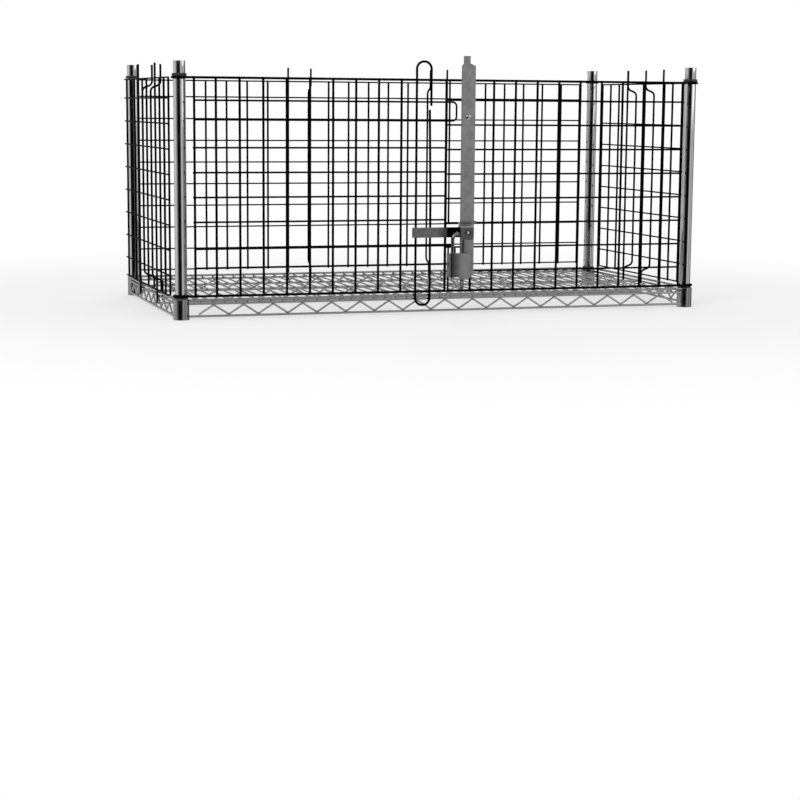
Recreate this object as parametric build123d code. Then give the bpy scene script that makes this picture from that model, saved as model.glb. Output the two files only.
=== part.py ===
from build123d import *
import os
from math import acos, atan2, ceil, cos, hypot, radians, sin, sqrt

# A lockable wire security cage: two wire mesh doors, a back panel and two side panels round one
# bay of a wire rack. It stands on the rack shelf that is its floor, between four tubular posts.
# All sizes are in millimetres. The origin is in the middle of the footprint, on the plane that the
# corner collars stand on. +X is to the right, +Y to the back and +Z up; the doors face -Y.

# Posts
post_span_x = 1170.0
post_span_y = 561.0
post_r = 12.7
post_wall = 1.25
post_stub = 25.86
groove_deep = 0.6
groove_tall = 2.4

# Collars of the floor shelf and the plastic sleeves that wedge them to the posts
collar_wall = 1.9
collar_tall = 44.0
sleeve_wall_low = 2.4
sleeve_wall_high = 1.9
sleeve_slit = 0.8
rim_wall = 3.0
rim_tall = 3.6
upper_rim_tall = 5.5
snug = 0.03

# Round pieces that repeat are drawn with flats, as far across as the real ones are thick. On a wire
# a flat faces each wire that it is welded to, so that crossing wires seat face to face. A bend that
# carries no moving fit is laid out in short straight runs.
wire_flats = 6
zigzag_flats = 4
corner_flats = 16
head_flats = 16
shackle_flats = 16
bend_run = 5.5

# Wires, by diameter
frame_wire = 4.8
cross_wire = 3.8
panel_upright_wire = 4.4
panel_cross_wire = 3.2
zigzag_wire = 3.8
deck_wire = 3.2

# Floor shelf: the trusses stand a little further out than the posts' own faces
truss_past_post = 0.3
truss_low_z = 8.0
truss_tall = 26.5
zigzag_pitch = 63.5
deck_pitch = 25.4
deck_overhang = 1.0

# Mesh shared by the doors and the panels
mesh_tall = 456.6
mesh_end_gap = 42.8
mesh_inner_rows = 8
upright_pitch = 50.8

# Hinge rings of the doors, and how far they stand off the rims below and above them
hinge_clearance = 0.1
rim_clearance = 0.1
ring_turn = 270.0

# Doors. Widths are measured from the middle of the cage or from the door's first uprights, and
# heights from the lower or upper frame wire.
door_gap_half = 4.0
wire_end_gap = 1.2
outer_upright_in = 27.0
outer_upright_room = 12.0
wire_overhang = 3.0
cut_low_row = 1
keeper_low_up = 80.0
keeper_high_down = 67.0
keeper_height = 40.0
keeper_reach = 14.0
keeper_corner_r = 9.0
left_row_up = 55.8
left_row_pitch = 51.9
loop_leg_gap = 33.0
loop_low_down = 29.5
loop_top_up = 39.0
loop_joint_low_down = 63.5
loop_joint_gap = 8.3
loop_joint_shift = 3.2
loop_slant_tall = 193.5

# Back and side panels
panel_overhang = 6.0
prong_reach = 33.0
hook_reach = 31.0
hook_jog = 22.0
hook_straight = 11.0
side_prong_pitches = 2
side_hook_pitches = 1
back_prong_pitches = 4
back_hook_pitches = 3

# Lock bar on the right door. It lies over the door's second upright. Places along it are measured
# from its left edge, and heights from the lower or upper frame wire.
bar_left_of_upright = 25.4
bar_wide = 31.8
bar_thick = 3.0
bar_low_up = 27.5
bar_shoulder_up = 31.0
bar_shoulder_tall = 5.0
bar_tongue_tall = 16.0
bar_corner_r = 6.0
tongue_in = 4.3
tongue_wide = 15.2
foot_in = 0.5
foot_wide = 10.0
foot_low_up = 2.5
foot_slot_wide = 4.0
foot_slot_tall = 10.0
bolt_in = 15.6
bolt_row = 6
bolt_above_row = 16.5
bolt_r = 3.0
bolt_head_r = 5.8
bolt_head_tall = 3.2
bolt_tail = 1.5
clamp_in = 7.6
clamp_wide = 26.0
clamp_tall = 12.0
clamp_thick = 2.0
nut_across = 10.0
nut_thick = 5.0

# Latch arm and the bracket that carries its pivot. Heights are measured from the pivot.
pivot_in = 10.1
pivot_up = 129.0
rivet_r = 3.6
rivet_head_r = 6.2
rivet_head_tall = 2.6
rivet_tail_r = 5.5
rivet_tail_thick = 1.5
washer_r = 8.0
washer_thick = 1.4
arm_thick = 3.0
arm_tall = 22.2
arm_reach = 121.5
arm_boss_r = 13.0
arm_tip_bevel = 1.4
arm_hole_clearance = 0.1
arm_play = 0.2
shoulder_r = 5.5
bracket_out = 6.6
bracket_wide = 30.5
bracket_sheet = 2.0
bracket_deep = 22.6
bracket_low_down = 16.0
bracket_fold_up = 12.5
bracket_top_up = 21.5
bracket_tab_tall = 6.0
bracket_tab_wide = 36.6
bracket_corner_r = 8.0
flange_gap = 0.6

# Padlock, turned a little to the right about the vertical. It hangs from the bracket's flange.
padlock_turn = 6.0
padlock_left_of_flange = 4.5
padlock_off_bar = 15.0
padlock_wide = 47.0
padlock_deep = 24.0
padlock_tall = 51.5
padlock_corner_r = 6.0
shackle_r = 4.0
shackle_leg_gap = 25.8
shackle_above_pivot = 1.5
shackle_above_body = 46.5
shackle_clearance = 0.1
long_leg_in = 32.0
short_leg_in = 9.0
short_bore_in = 10.0
hasp_hole_r = 5.5
plug_r = 6.0
plug_tall = 18.0
plug_clearance = 0.05
key_slot_wide = 1.6
key_slot_long = 8.0
key_slot_deep = 5.0
drain_hole_r = 1.9
drain_hole_deep = 3.0
drain_hole_x = -18.0
drain_hole_z = 34.0

# Places worked out from the sizes above. They stand about the middle of the four posts.
over_corners = 1 / cos(radians(180 / wire_flats))
frame_corner = frame_wire / 2 * over_corners
front_y = -post_span_y / 2
back_y = post_span_y / 2
side_x = post_span_x / 2
sleeve_r_low = post_r + sleeve_wall_low
sleeve_r_high = post_r + sleeve_wall_high
sleeve_top_z = collar_tall + rim_tall
collar_r = sleeve_r_low + collar_wall
rim_r = post_r + rim_wall
mesh_low_z = sleeve_top_z + rim_clearance + frame_corner
mesh_top_z = mesh_low_z + mesh_tall
upper_rim_z = mesh_top_z + frame_corner + rim_clearance
groove_top_z = upper_rim_z + upper_rim_tall + rim_clearance
post_top = groove_top_z + post_stub

truss_out = post_r + truss_past_post
truss_y = back_y + truss_out
truss_x = side_x + truss_out
truss_top_z = truss_low_z + truss_tall
deck_z = truss_top_z + (frame_wire + deck_wire) / 2
rail_z = deck_z + (frame_wire + deck_wire) / 2
deck_count = 2 * int((truss_x - deck_pitch) / deck_pitch)
runner_at = post_span_y / 4
panel_out = truss_out + frame_corner + panel_upright_wire / 2
panel_cross_out = panel_out + (panel_upright_wire + panel_cross_wire) / 2
back_half_pitches = int((side_x - collar_r - panel_overhang) / upright_pitch)
side_half_pitches = int((back_y - collar_r - panel_overhang) / upright_pitch)

ring_r = post_r + hinge_clearance + frame_wire / 2
upright_d = ring_r + frame_wire
cross_d = ring_r + (frame_wire - cross_wire) / 2
keeper_d = upright_d + (frame_wire + cross_wire) / 2
outer_upright_x = side_x - outer_upright_in
door_pitches = int((outer_upright_x - outer_upright_room - door_gap_half) / upright_pitch)
second_upright_x = door_gap_half + upright_pitch
keeper_reach_x = door_gap_half + keeper_reach
keeper_centres_z = (mesh_low_z + keeper_low_up, mesh_top_z - keeper_high_down)
left_row_low_z = keeper_centres_z[0] + keeper_height / 2 + left_row_up
left_row_room = keeper_centres_z[1] - keeper_height / 2 - left_row_pitch / 2 - left_row_low_z
left_rows = 1 + int(left_row_room / left_row_pitch)
loop_centre_x = -second_upright_x
loop_low_z = mesh_low_z - loop_low_down
loop_top_z = mesh_top_z + loop_top_up
loop_joint_low_z = mesh_top_z - loop_joint_low_down
loop_joint_high_z = loop_joint_low_z + loop_joint_gap
loop_straight_below_z = loop_joint_low_z - loop_slant_tall

bar_left_x = second_upright_x - bar_left_of_upright
bar_low_z = mesh_low_z + bar_low_up
bar_shoulder_z = mesh_top_z + bar_shoulder_up
bar_top_z = bar_shoulder_z + bar_shoulder_tall + bar_tongue_tall
tongue_left_x = bar_left_x + tongue_in
tongue_right_x = tongue_left_x + tongue_wide
foot_left_x = bar_left_x + foot_in
foot_low_z = mesh_low_z + foot_low_up
bolt_x = bar_left_x + bolt_in
clamp_left_x = bar_left_x + clamp_in
pivot_x = bar_left_x + pivot_in
pivot_z = mesh_low_z + pivot_up
arm_end_x = pivot_x - arm_reach
bar_back_d = upright_d + frame_wire / 2
bar_front_d = bar_back_d + bar_thick
arm_back_d = bar_front_d + washer_thick
arm_front_d = arm_back_d + arm_thick
bracket_left_x = bar_left_x - bracket_out
bracket_right_x = bracket_left_x + bracket_wide
bracket_tab_left_x = bar_left_x
bracket_tab_right_x = bracket_tab_left_x + bracket_tab_wide
bracket_front_d = bar_front_d + bracket_deep
bracket_low_z = pivot_z - bracket_low_down
bracket_fold_z = pivot_z + bracket_fold_up
bracket_top_z = pivot_z + bracket_top_up
padlock_x = bracket_left_x + bracket_sheet / 2 - padlock_left_of_flange
padlock_d = bar_front_d + padlock_off_bar
shackle_top_z = pivot_z + shackle_above_pivot
padlock_low_z = shackle_top_z - shackle_above_body - padlock_tall

# The cage reaches further out in front, where the padlock hangs, than it does behind. Each piece is
# moved back by half the difference, which puts the origin in the middle of the whole footprint.
front_reach = (padlock_d + padlock_corner_r
               + (padlock_wide / 2 - padlock_corner_r) * sin(radians(padlock_turn))
               + (padlock_deep / 2 - padlock_corner_r) * cos(radians(padlock_turn)))
back_reach = panel_cross_out + panel_cross_wire / 2
middle_shift = (front_reach - back_reach) / 2


def front(d):
    """The Y of a point that stands d in front of the line between the front post centres."""
    return front_y - d


def wire_section(origin, run, facing, diameter, flats=wire_flats):
    """A wire's section at one end, with a flat square to the facing direction."""
    run, facing = Vector(*run), Vector(*facing)
    plane = Plane(origin=origin, x_dir=facing.cross(run), z_dir=run)
    return plane * RegularPolygon(diameter / 2, flats, major_radius=False, rotation=90 - 180 / flats)


def rod(start, end, facing, diameter):
    """A straight wire with square ends."""
    run = Vector(*end) - Vector(*start)
    return extrude(wire_section(start, run, facing, diameter), run.length)


def bent(path, facing, diameter, flats=wire_flats):
    """One wire along a path of straight runs, mitred where they meet."""
    section = wire_section(path @ 0, path % 0, facing, diameter, flats)
    return sweep(section, path=path, transition=Transition.RIGHT)


def in_runs(path):
    """The same path, with each of its arcs laid out in straight runs."""
    points = [path @ 0]
    for edge in path.edges():
        runs = ceil(edge.length / bend_run) if edge.geom_type == GeomType.CIRCLE else 1
        points += [edge @ (i / runs) for i in range(1, runs + 1)]
    return Polyline(*points)


def disc(x, z, r, d_back, d_front):
    """A round piece or hole whose axis runs from back to front."""
    start = Vector(x, front(d_back), z)
    return Solid.make_cylinder(r, d_front - d_back, Plane(origin=start, z_dir=(0, -1, 0)))


def many_sided(x, z, r, d_back, d_front):
    """A head, washer or shoulder about an axis that runs from back to front."""
    return slab(Pos(x, z) * RegularPolygon(r, head_flats, major_radius=False), d_back, d_front)


def slab(outline, d_back, d_front):
    """A flat piece of an XZ outline, standing between two distances in front of the posts."""
    return extrude(Plane(origin=(0, front(d_back), 0), x_dir=(1, 0, 0), z_dir=(0, -1, 0)) * outline,
                   d_front - d_back)


def write(name, pieces):
    """Writes one node, as one solid or as a group of separate ones."""
    solids = [Pos(0, middle_shift, 0) * solid for piece in pieces for solid in piece.solids()]
    export_step(Compound(children=solids), f"parts/{name}.step")


def mesh_rows():
    """Heights of the evenly spaced cross wires between the two frame wires."""
    low = mesh_low_z + mesh_end_gap
    pitch = (mesh_top_z - mesh_end_gap - low) / (mesh_inner_rows - 1)
    return [low + pitch * i for i in range(mesh_inner_rows)]


def post_corners():
    return {
        "front_left": (-side_x, front_y),
        "front_right": (side_x, front_y),
        "rear_left": (-side_x, back_y),
        "rear_right": (side_x, back_y),
    }


def frustum(r_low, r_high, tall, z=0.0):
    """A many-sided block about the Z axis, with a flat facing each way along X and Y."""
    ends = [Plane(origin=(0, 0, height)) * RegularPolygon(r, corner_flats, major_radius=False,
                                                          rotation=180 / corner_flats)
            for r, height in ((r_low, z), (r_high, z + tall))]
    return loft(ends)


def post():
    """A round tube, open at both ends, with the groove that the next shelf's sleeve snaps into."""
    tube = Pos(0, 0, post_top / 2) * Cylinder(post_r, post_top)
    bore_r = post_r - post_wall
    groove = Pos(0, 0, groove_top_z - groove_tall / 2) * Cylinder(2 * post_r, groove_tall)
    floor_r = post_r - groove_deep
    groove -= frustum(floor_r, floor_r, groove_tall, groove_top_z - groove_tall)
    return tube - groove - frustum(bore_r, bore_r, post_top)


def collar():
    """A shelf corner: a collar whose bore narrows upwards, so that a load wedges it."""
    return frustum(collar_r, collar_r, collar_tall) - frustum(sleeve_r_low, sleeve_r_high, collar_tall)


def sleeve():
    """The two halves of the wedge sleeve in a collar. The door rings rest on their rim."""
    taper = (sleeve_r_low - sleeve_r_high) / collar_tall
    top_r = sleeve_r_low - taper * sleeve_top_z
    body = frustum(sleeve_r_low - snug, top_r - snug, sleeve_top_z)
    body -= frustum(post_r + snug, post_r + snug, sleeve_top_z)
    return (body - Box(4 * collar_r, sleeve_slit, 4 * collar_tall)).solids()


def upper_rim():
    """The rim that shows under the next collar up, and keeps the door rings from lifting."""
    return (frustum(rim_r, rim_r, upper_rim_tall, upper_rim_z)
            - frustum(post_r + snug, post_r + snug, upper_rim_tall, upper_rim_z))


def at_corners(solids):
    return [Pos(x, y, 0) * solid for x, y in post_corners().values() for solid in solids]


def truss_wires(along_x, offset):
    """The bottom chord, top chord and rail of one side. Each end meets a slanting collar flat."""
    meet = collar_r * sqrt(2) - (truss_out - frame_corner)
    half = (side_x if along_x else back_y) - meet
    ends = [(s, offset) if along_x else (offset, s) for s in (-half, half)]
    return [rod((*ends[0], z), (*ends[1], z), (0, 0, 1), frame_wire)
            for z in (truss_low_z, truss_top_z, rail_z)]


def zigzag(half_length, place, facing):
    """The bent wire between two chords. It slants so that its outer corners just meet them."""
    clear = truss_top_z - truss_low_z - frame_wire
    runs = 2 * int(half_length * 2 / zigzag_pitch)
    step = 2 * half_length / runs
    slant = acos(zigzag_wire / hypot(clear, step)) - atan2(step, clear)
    corner = frame_wire / 2 + zigzag_wire / 2 / cos(slant)
    heights = (truss_low_z + corner, truss_top_z - corner)
    points = [place(-half_length + step * i, heights[i % 2]) for i in range(runs + 1)]
    return bent(Polyline(*points), facing, zigzag_wire, zigzag_flats)


def shelf_floor():
    """Deck wires front to back on the chords, with runners and a middle truss under them."""
    up = (0, 0, 1)
    reach = truss_y + deck_overhang
    xs = [deck_pitch * (i - (deck_count - 1) / 2) for i in range(deck_count)]
    write("deck_wires", [rod((x, -reach, deck_z), (x, reach, deck_z), up, deck_wire) for x in xs])
    end = truss_x - frame_corner

    def runner(y, z):
        return rod((-end, y, z), (end, y, z), up, frame_wire)

    write("deck_runner_wires", [runner(-runner_at, truss_top_z), runner(runner_at, truss_top_z)])
    write("centre_truss_chords", [runner(0, truss_low_z), runner(0, truss_top_z)])
    long_half, short_half = side_x - 2 * collar_r, back_y - 2 * collar_r
    write("centre_truss_zigzag", [zigzag(long_half, lambda s, z: (s, 0, z), (0, 1, 0))])
    for name, y in (("front", -truss_y), ("rear", truss_y)):
        write(f"{name}_truss_chords", truss_wires(True, y))
        write(f"{name}_truss_zigzag", [zigzag(long_half, lambda s, z: (s, y, z), (0, 1, 0))])
    for name, x in (("left", -truss_x), ("right", truss_x)):
        write(f"{name}_truss_chords", truss_wires(False, x))
        write(f"{name}_truss_zigzag", [zigzag(short_half, lambda s, z: (x, s, z), (1, 0, 0))])


def spring_hook(place, facing):
    """An upright whose ends step inwards and run on behind the shelf trusses."""
    low = mesh_low_z + hook_straight
    top = mesh_top_z - hook_straight
    points = [
        place(-hook_jog, mesh_low_z - hook_reach),
        place(-hook_jog, low),
        place(0, low + hook_jog),
        place(0, top - hook_jog),
        place(-hook_jog, top),
        place(-hook_jog, mesh_top_z + hook_reach),
    ]
    return bent(Polyline(*points), facing, panel_upright_wire)


def mesh_panel(name, half_pitches, prong_pitches, hook_pitches, place):
    """One panel. place(s, out, z) puts a point s along the panel and out beyond the shelf edge."""
    pitches = [i for i in range(-half_pitches, half_pitches + 1)
               if abs(i) not in (prong_pitches, hook_pitches)]
    prong_at, hook_at = upright_pitch * prong_pitches, upright_pitch * hook_pitches
    half = upright_pitch * half_pitches + panel_overhang
    out = Vector(*place(0, 1, 0)) - Vector(*place(0, 0, 0))

    def upright(s, low, top):
        return rod(place(s, panel_out, low), place(s, panel_out, top), out, panel_upright_wire)

    def hook(s):
        return spring_hook(lambda beyond, z: place(s, panel_out + beyond, z), out)

    end = panel_cross_wire / 2
    write(f"{name}_uprights", [upright(upright_pitch * i, mesh_low_z - end, mesh_top_z + end)
                                for i in pitches])
    write(f"{name}_prongs", [upright(s, mesh_low_z - hook_reach, mesh_top_z + prong_reach)
                             for s in (-prong_at, prong_at)])
    write(f"{name}_hooks", [hook(-hook_at), hook(hook_at)])
    write(f"{name}_cross_wires", [rod(place(-half, panel_cross_out, z),
                                      place(half, panel_cross_out, z), out, panel_cross_wire)
                                  for z in (mesh_low_z, *mesh_rows(), mesh_top_z)])


def hinge_wire(z, side):
    """A frame wire of a door that curls round its post. side is -1 on the left, +1 on the right."""
    straight = Line((side * wire_end_gap, front(ring_r)), (side * side_x, front(ring_r)))
    curl = CenterArc((side * side_x, front_y), ring_r, -90, side * ring_turn)
    path = Pos(0, 0, z) * Wire([straight, curl])
    return sweep(wire_section(path @ 0, path % 0, (0, 1, 0), frame_wire), path=path)


def keeper_loop(z):
    """Two cross wires of the left door that are one wire, bent round in front of the right door."""
    outer = -outer_upright_x - wire_overhang
    low, high = z - keeper_height / 2, z + keeper_height / 2
    y = front(keeper_d)
    points = [(outer, y, low), (keeper_reach_x, y, low), (keeper_reach_x, y, high), (outer, y, high)]
    return bent(in_runs(FilletPolyline(*points, radius=keeper_corner_r)), (0, 1, 0), cross_wire)


def long_loop():
    """The tall loop that stops the door against both shelf edges. Its ends meet at an open joint."""
    y = front(upright_d)
    left = loop_centre_x - loop_leg_gap / 2
    right = loop_centre_x + loop_leg_gap / 2
    points = [
        (right, y, loop_joint_high_z),
        (right, y, loop_top_z),
        (left, y, loop_top_z),
        (left, y, loop_low_z),
        (right, y, loop_low_z),
        (right, y, loop_straight_below_z),
        (right - loop_joint_shift, y, loop_joint_low_z),
    ]
    path = in_runs(FilletPolyline(*points, radius=loop_leg_gap / 2 - 0.5))
    return bent(path, (0, 1, 0), frame_wire)


def door_cross(side, z):
    start = (side * wire_end_gap, front(cross_d), z)
    end = (side * (outer_upright_x + wire_overhang), front(cross_d), z)
    return rod(start, end, (0, 1, 0), cross_wire)


def door_upright(x, diameter=frame_wire, low=mesh_low_z, high=mesh_top_z):
    """An upright in front of the frame wires, cut just past them."""
    y = front(upright_d - (frame_wire - diameter) / 2)
    past = frame_wire / 2
    return rod((x, y, low - past), (x, y, high + past), (0, 1, 0), diameter)


def left_door():
    xs = [-door_gap_half - upright_pitch * i for i in range(door_pitches + 1) if i != 1]
    write("left_door_uprights", [door_upright(x) for x in (*xs, -outer_upright_x)])
    rows = [left_row_low_z + left_row_pitch * i for i in range(left_rows)]
    write("left_door_cross_wires", [door_cross(-1, z) for z in rows])
    write("left_door_hinge_wires", [hinge_wire(z, -1) for z in (mesh_low_z, mesh_top_z)])
    write("left_door_keeper_loops", [keeper_loop(z) for z in keeper_centres_z])
    write("left_door_long_loop", [long_loop()])


def right_door():
    """Its inner upright is thinner, and is cut away behind the latch arm."""
    rows = mesh_rows()
    xs = [door_gap_half + upright_pitch * i for i in range(1, door_pitches + 1)]
    below = door_upright(door_gap_half, cross_wire, high=rows[cut_low_row])
    above = door_upright(door_gap_half, cross_wire, low=rows[cut_low_row + 1])
    write("right_door_uprights", [door_upright(x) for x in (*xs, outer_upright_x)] + [below, above])
    write("right_door_cross_wires", [door_cross(1, z) for z in rows])
    write("right_door_hinge_wires", [hinge_wire(z, 1) for z in (mesh_low_z, mesh_top_z)])


def bolt_z():
    """The clamp bolt's height, clear of the cross wires."""
    return mesh_rows()[bolt_row] + bolt_above_row


def bolt_shank(d_back, d_front):
    """A stretch of the clamp bolt, or of the holes that it fills."""
    return many_sided(bolt_x, bolt_z(), bolt_r, d_back, d_front)


def lock_bar():
    """A flat bar with a shouldered tongue on top and a slotted foot at the bottom."""
    right = bar_left_x + bar_wide
    outline = Polyline(
        (bar_left_x, bar_low_z),
        (right, bar_low_z),
        (right, bar_shoulder_z),
        (tongue_right_x, bar_shoulder_z + bar_shoulder_tall),
        (tongue_right_x, bar_top_z),
        (tongue_left_x, bar_top_z),
        (tongue_left_x, bar_shoulder_z + bar_shoulder_tall),
        (bar_left_x, bar_shoulder_z),
        close=True,
    )
    bar = slab(make_face(outline), bar_back_d, bar_front_d)
    corner = bar.edges().filter_by(Axis.Y).group_by(Axis.Z)[0].sort_by(Axis.X)[-1]
    bar = fillet(corner, bar_corner_r)
    foot_x = foot_left_x + foot_wide / 2
    foot_tall = bar_low_z - foot_low_z
    foot = Pos(foot_x, foot_low_z + foot_tall / 2) * Rectangle(foot_wide, foot_tall)
    slot_z = bar_low_z - foot_slot_tall / 2 - foot_slot_wide
    foot -= Pos(foot_x, slot_z) * Rectangle(foot_slot_wide, foot_slot_tall)
    bar += slab(foot, bar_back_d, bar_front_d)
    bar -= disc(pivot_x, pivot_z, rivet_r, bar_back_d, bar_front_d)
    return bar - bolt_shank(bar_back_d, bar_front_d)


def lock_bar_fastening():
    """The bolt through the bar, and the plate and nut that clamp the door's mesh behind it."""
    plate_front = upright_d - frame_wire / 2
    plate_back = plate_front - clamp_thick
    nut_back = plate_back - nut_thick
    bolt = bolt_shank(nut_back - bolt_tail, bar_front_d)
    bolt += many_sided(bolt_x, bolt_z(), bolt_head_r, bar_front_d, bar_front_d + bolt_head_tall)
    write("lock_bar_bolt", [bolt])
    plate = Pos(clamp_left_x + clamp_wide / 2, bolt_z()) * Rectangle(clamp_wide, clamp_tall)
    plate = slab(plate, plate_back, plate_front)
    write("lock_bar_clamp_plate", [plate - bolt_shank(plate_back, plate_front)])
    nut = slab(Pos(bolt_x, bolt_z()) * RegularPolygon(nut_across / 2, 6, major_radius=False),
               nut_back, plate_back)
    write("lock_bar_nut", [nut - bolt_shank(nut_back, plate_back)])


def hasp_hole():
    """Where the shackle's bow crosses the bracket's flange: its distance in front, and its height."""
    along = bracket_left_x + bracket_sheet / 2 - padlock_x
    bow_r = shackle_leg_gap / 2
    return padlock_d - along * sin(radians(padlock_turn)), bow_centre_z() + sqrt(bow_r**2 - along**2)


def bow_centre_z():
    return shackle_top_z - shackle_r - shackle_leg_gap / 2


def hasp_bracket():
    """Sheet steel over the arm's pivot: tab on the bar, sloping roof, front plate and side flange."""
    inner_d = bracket_front_d - bracket_sheet
    wide = bracket_right_x - bracket_left_x
    middle = bracket_left_x + wide / 2
    roof = Polyline(
        (front(bar_front_d), bracket_top_z),
        (front(bracket_front_d), bracket_fold_z),
        (front(bracket_front_d), bracket_fold_z - bracket_sheet),
        (front(inner_d), bracket_fold_z - bracket_sheet),
        (front(bar_front_d), bracket_top_z - bracket_sheet),
        close=True,
    )
    roof_plane = Plane(origin=(bracket_left_x, 0, 0), x_dir=(0, 1, 0), z_dir=(1, 0, 0))
    bracket = extrude(roof_plane * make_face(roof), wide)
    tall = bracket_fold_z - bracket_low_z
    plate = Pos(middle, bracket_low_z + tall / 2) * Rectangle(wide, tall)
    plate = slab(plate, inner_d, bracket_front_d)
    low_corners = plate.edges().filter_by(Axis.Y).group_by(Axis.Z)[0]
    bracket += fillet(low_corners, bracket_corner_r)
    tab_wide = bracket_tab_right_x - bracket_tab_left_x
    tab = Pos(bracket_tab_left_x + tab_wide / 2, bracket_top_z) * Rectangle(tab_wide, bracket_tab_tall)
    bracket += slab(tab, bar_front_d, bar_front_d + bracket_sheet)
    flange_low = bracket_low_z + bracket_corner_r
    flange = Polyline(
        (front(arm_front_d + flange_gap), flange_low),
        (front(bracket_front_d), flange_low),
        (front(bracket_front_d), bracket_fold_z - bracket_sheet),
        (front(arm_front_d + flange_gap), bracket_top_z - 2 * bracket_sheet),
        close=True,
    )
    bracket += extrude(roof_plane * make_face(flange), bracket_sheet)
    hole_d, hole_z = hasp_hole()
    bracket -= (Pos(bracket_left_x, front(hole_d), hole_z) * Rot(0, 90, 0)
                * Cylinder(hasp_hole_r, 3 * bracket_sheet))
    return bracket - disc(pivot_x, pivot_z, rivet_r, inner_d - 1, bracket_front_d + 1)


def pivot_pieces():
    """The shouldered rivet from the bracket's face to the back of the bar, and the arm's washer."""
    inner_d = bracket_front_d - bracket_sheet
    rivet = disc(pivot_x, pivot_z, rivet_r, bar_back_d, bracket_front_d)
    rivet += many_sided(pivot_x, pivot_z, rivet_head_r, bracket_front_d,
                        bracket_front_d + rivet_head_tall)
    rivet += many_sided(pivot_x, pivot_z, rivet_tail_r, bar_back_d - rivet_tail_thick, bar_back_d)
    rivet += many_sided(pivot_x, pivot_z, shoulder_r, arm_front_d, inner_d)
    write("pivot_rivet", [rivet])
    washer = many_sided(pivot_x, pivot_z, washer_r, bar_front_d, arm_back_d)
    write("pivot_washer", [washer - disc(pivot_x, pivot_z, rivet_r, bar_front_d, arm_back_d)])


def latch_arm():
    """A flat arm with a round eye on the rivet. It lies across the left door when the cage is shut."""
    strip = (Pos((pivot_x + arm_end_x) / 2, pivot_z) * Rectangle(pivot_x - arm_end_x, arm_tall)
             + Pos(pivot_x, pivot_z) * Circle(arm_boss_r))
    strip -= Pos(pivot_x, pivot_z) * Circle(rivet_r + arm_hole_clearance)
    arm = slab(strip, arm_back_d + arm_play / 2, arm_front_d - arm_play / 2)
    return chamfer(arm.edges().filter_by(Axis.Y).group_by(Axis.X)[0], arm_tip_bevel)


def padlock_place():
    return Pos(padlock_x, front(padlock_d), padlock_low_z) * Rot(0, 0, padlock_turn)


def leg_rod(side, low, high, r):
    x = side * shackle_leg_gap / 2
    return Solid.make_cylinder(r, high - low, Plane(origin=(x, 0, low), z_dir=(0, 0, 1)))


def padlock_shackle():
    """A bar bent to a half circle, with one long leg and one short leg."""
    half = shackle_leg_gap / 2
    turn_z = bow_centre_z() - padlock_low_z
    long_end = padlock_tall - long_leg_in
    short_end = padlock_tall - short_leg_in
    path = Wire([
        Line((-half, 0, long_end), (-half, 0, turn_z)),
        ThreePointArc((-half, 0, turn_z), (0, 0, turn_z + half), (half, 0, turn_z)),
        Line((half, 0, turn_z), (half, 0, short_end)),
    ])
    return bent(in_runs(path), (0, 1, 0), 2 * shackle_r, shackle_flats)


def padlock_body():
    """A block with rounded uprights, two shackle bores, a plug bore and a small drain hole."""
    block = extrude(RectangleRounded(padlock_wide, padlock_deep, padlock_corner_r), padlock_tall)
    bore_r = shackle_r + shackle_clearance
    block -= leg_rod(-1, padlock_tall - long_leg_in - 1, padlock_tall, bore_r)
    block -= leg_rod(1, padlock_tall - short_bore_in, padlock_tall, bore_r)
    block -= Pos(0, 0, plug_tall / 2) * Cylinder(plug_r + plug_clearance, plug_tall)
    drain = Plane(origin=(drain_hole_x, -padlock_deep / 2, drain_hole_z), z_dir=(0, 1, 0))
    return block - extrude(drain * RegularPolygon(drain_hole_r, 8), drain_hole_deep)


def padlock_plug():
    """The turning lock plug, with its key slot in the lower face."""
    plug = Pos(0, 0, plug_tall / 2) * Cylinder(plug_r, plug_tall)
    return plug - Pos(0, 0, key_slot_deep / 2) * Box(key_slot_long, key_slot_wide, key_slot_deep)


def build():
    os.makedirs("parts", exist_ok=True)
    for name, (x, y) in post_corners().items():
        write(f"post_{name}", [Pos(x, y, 0) * post()])
    write("corner_collars", at_corners([collar()]))
    write("lower_split_sleeves", at_corners(sleeve()))
    write("upper_sleeve_rims", at_corners([upper_rim()]))
    shelf_floor()
    mesh_panel("back_panel", back_half_pitches, back_prong_pitches, back_hook_pitches,
               lambda s, out, z: (s, back_y + out, z))
    mesh_panel("left_panel", side_half_pitches, side_prong_pitches, side_hook_pitches,
               lambda s, out, z: (-side_x - out, s, z))
    mesh_panel("right_panel", side_half_pitches, side_prong_pitches, side_hook_pitches,
               lambda s, out, z: (side_x + out, s, z))
    left_door()
    right_door()
    write("lock_bar", [lock_bar()])
    lock_bar_fastening()
    write("hasp_bracket", [hasp_bracket()])
    pivot_pieces()
    write("latch_arm", [latch_arm()])
    for name, piece in (("padlock_shackle", padlock_shackle()), ("padlock_body", padlock_body()),
                        ("padlock_plug", padlock_plug())):
        write(name, [padlock_place() * piece])


build()
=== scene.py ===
"""Looks of a lockable wire security cage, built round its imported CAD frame.

Every CAD node is replaced by a piece of the same size with round wires, soft edges and its own
finish. All places come from the frame's own boxes and from the sizes named below.
"""

import bmesh
import bpy
import numpy as np
from mathutils import Matrix, Vector


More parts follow.
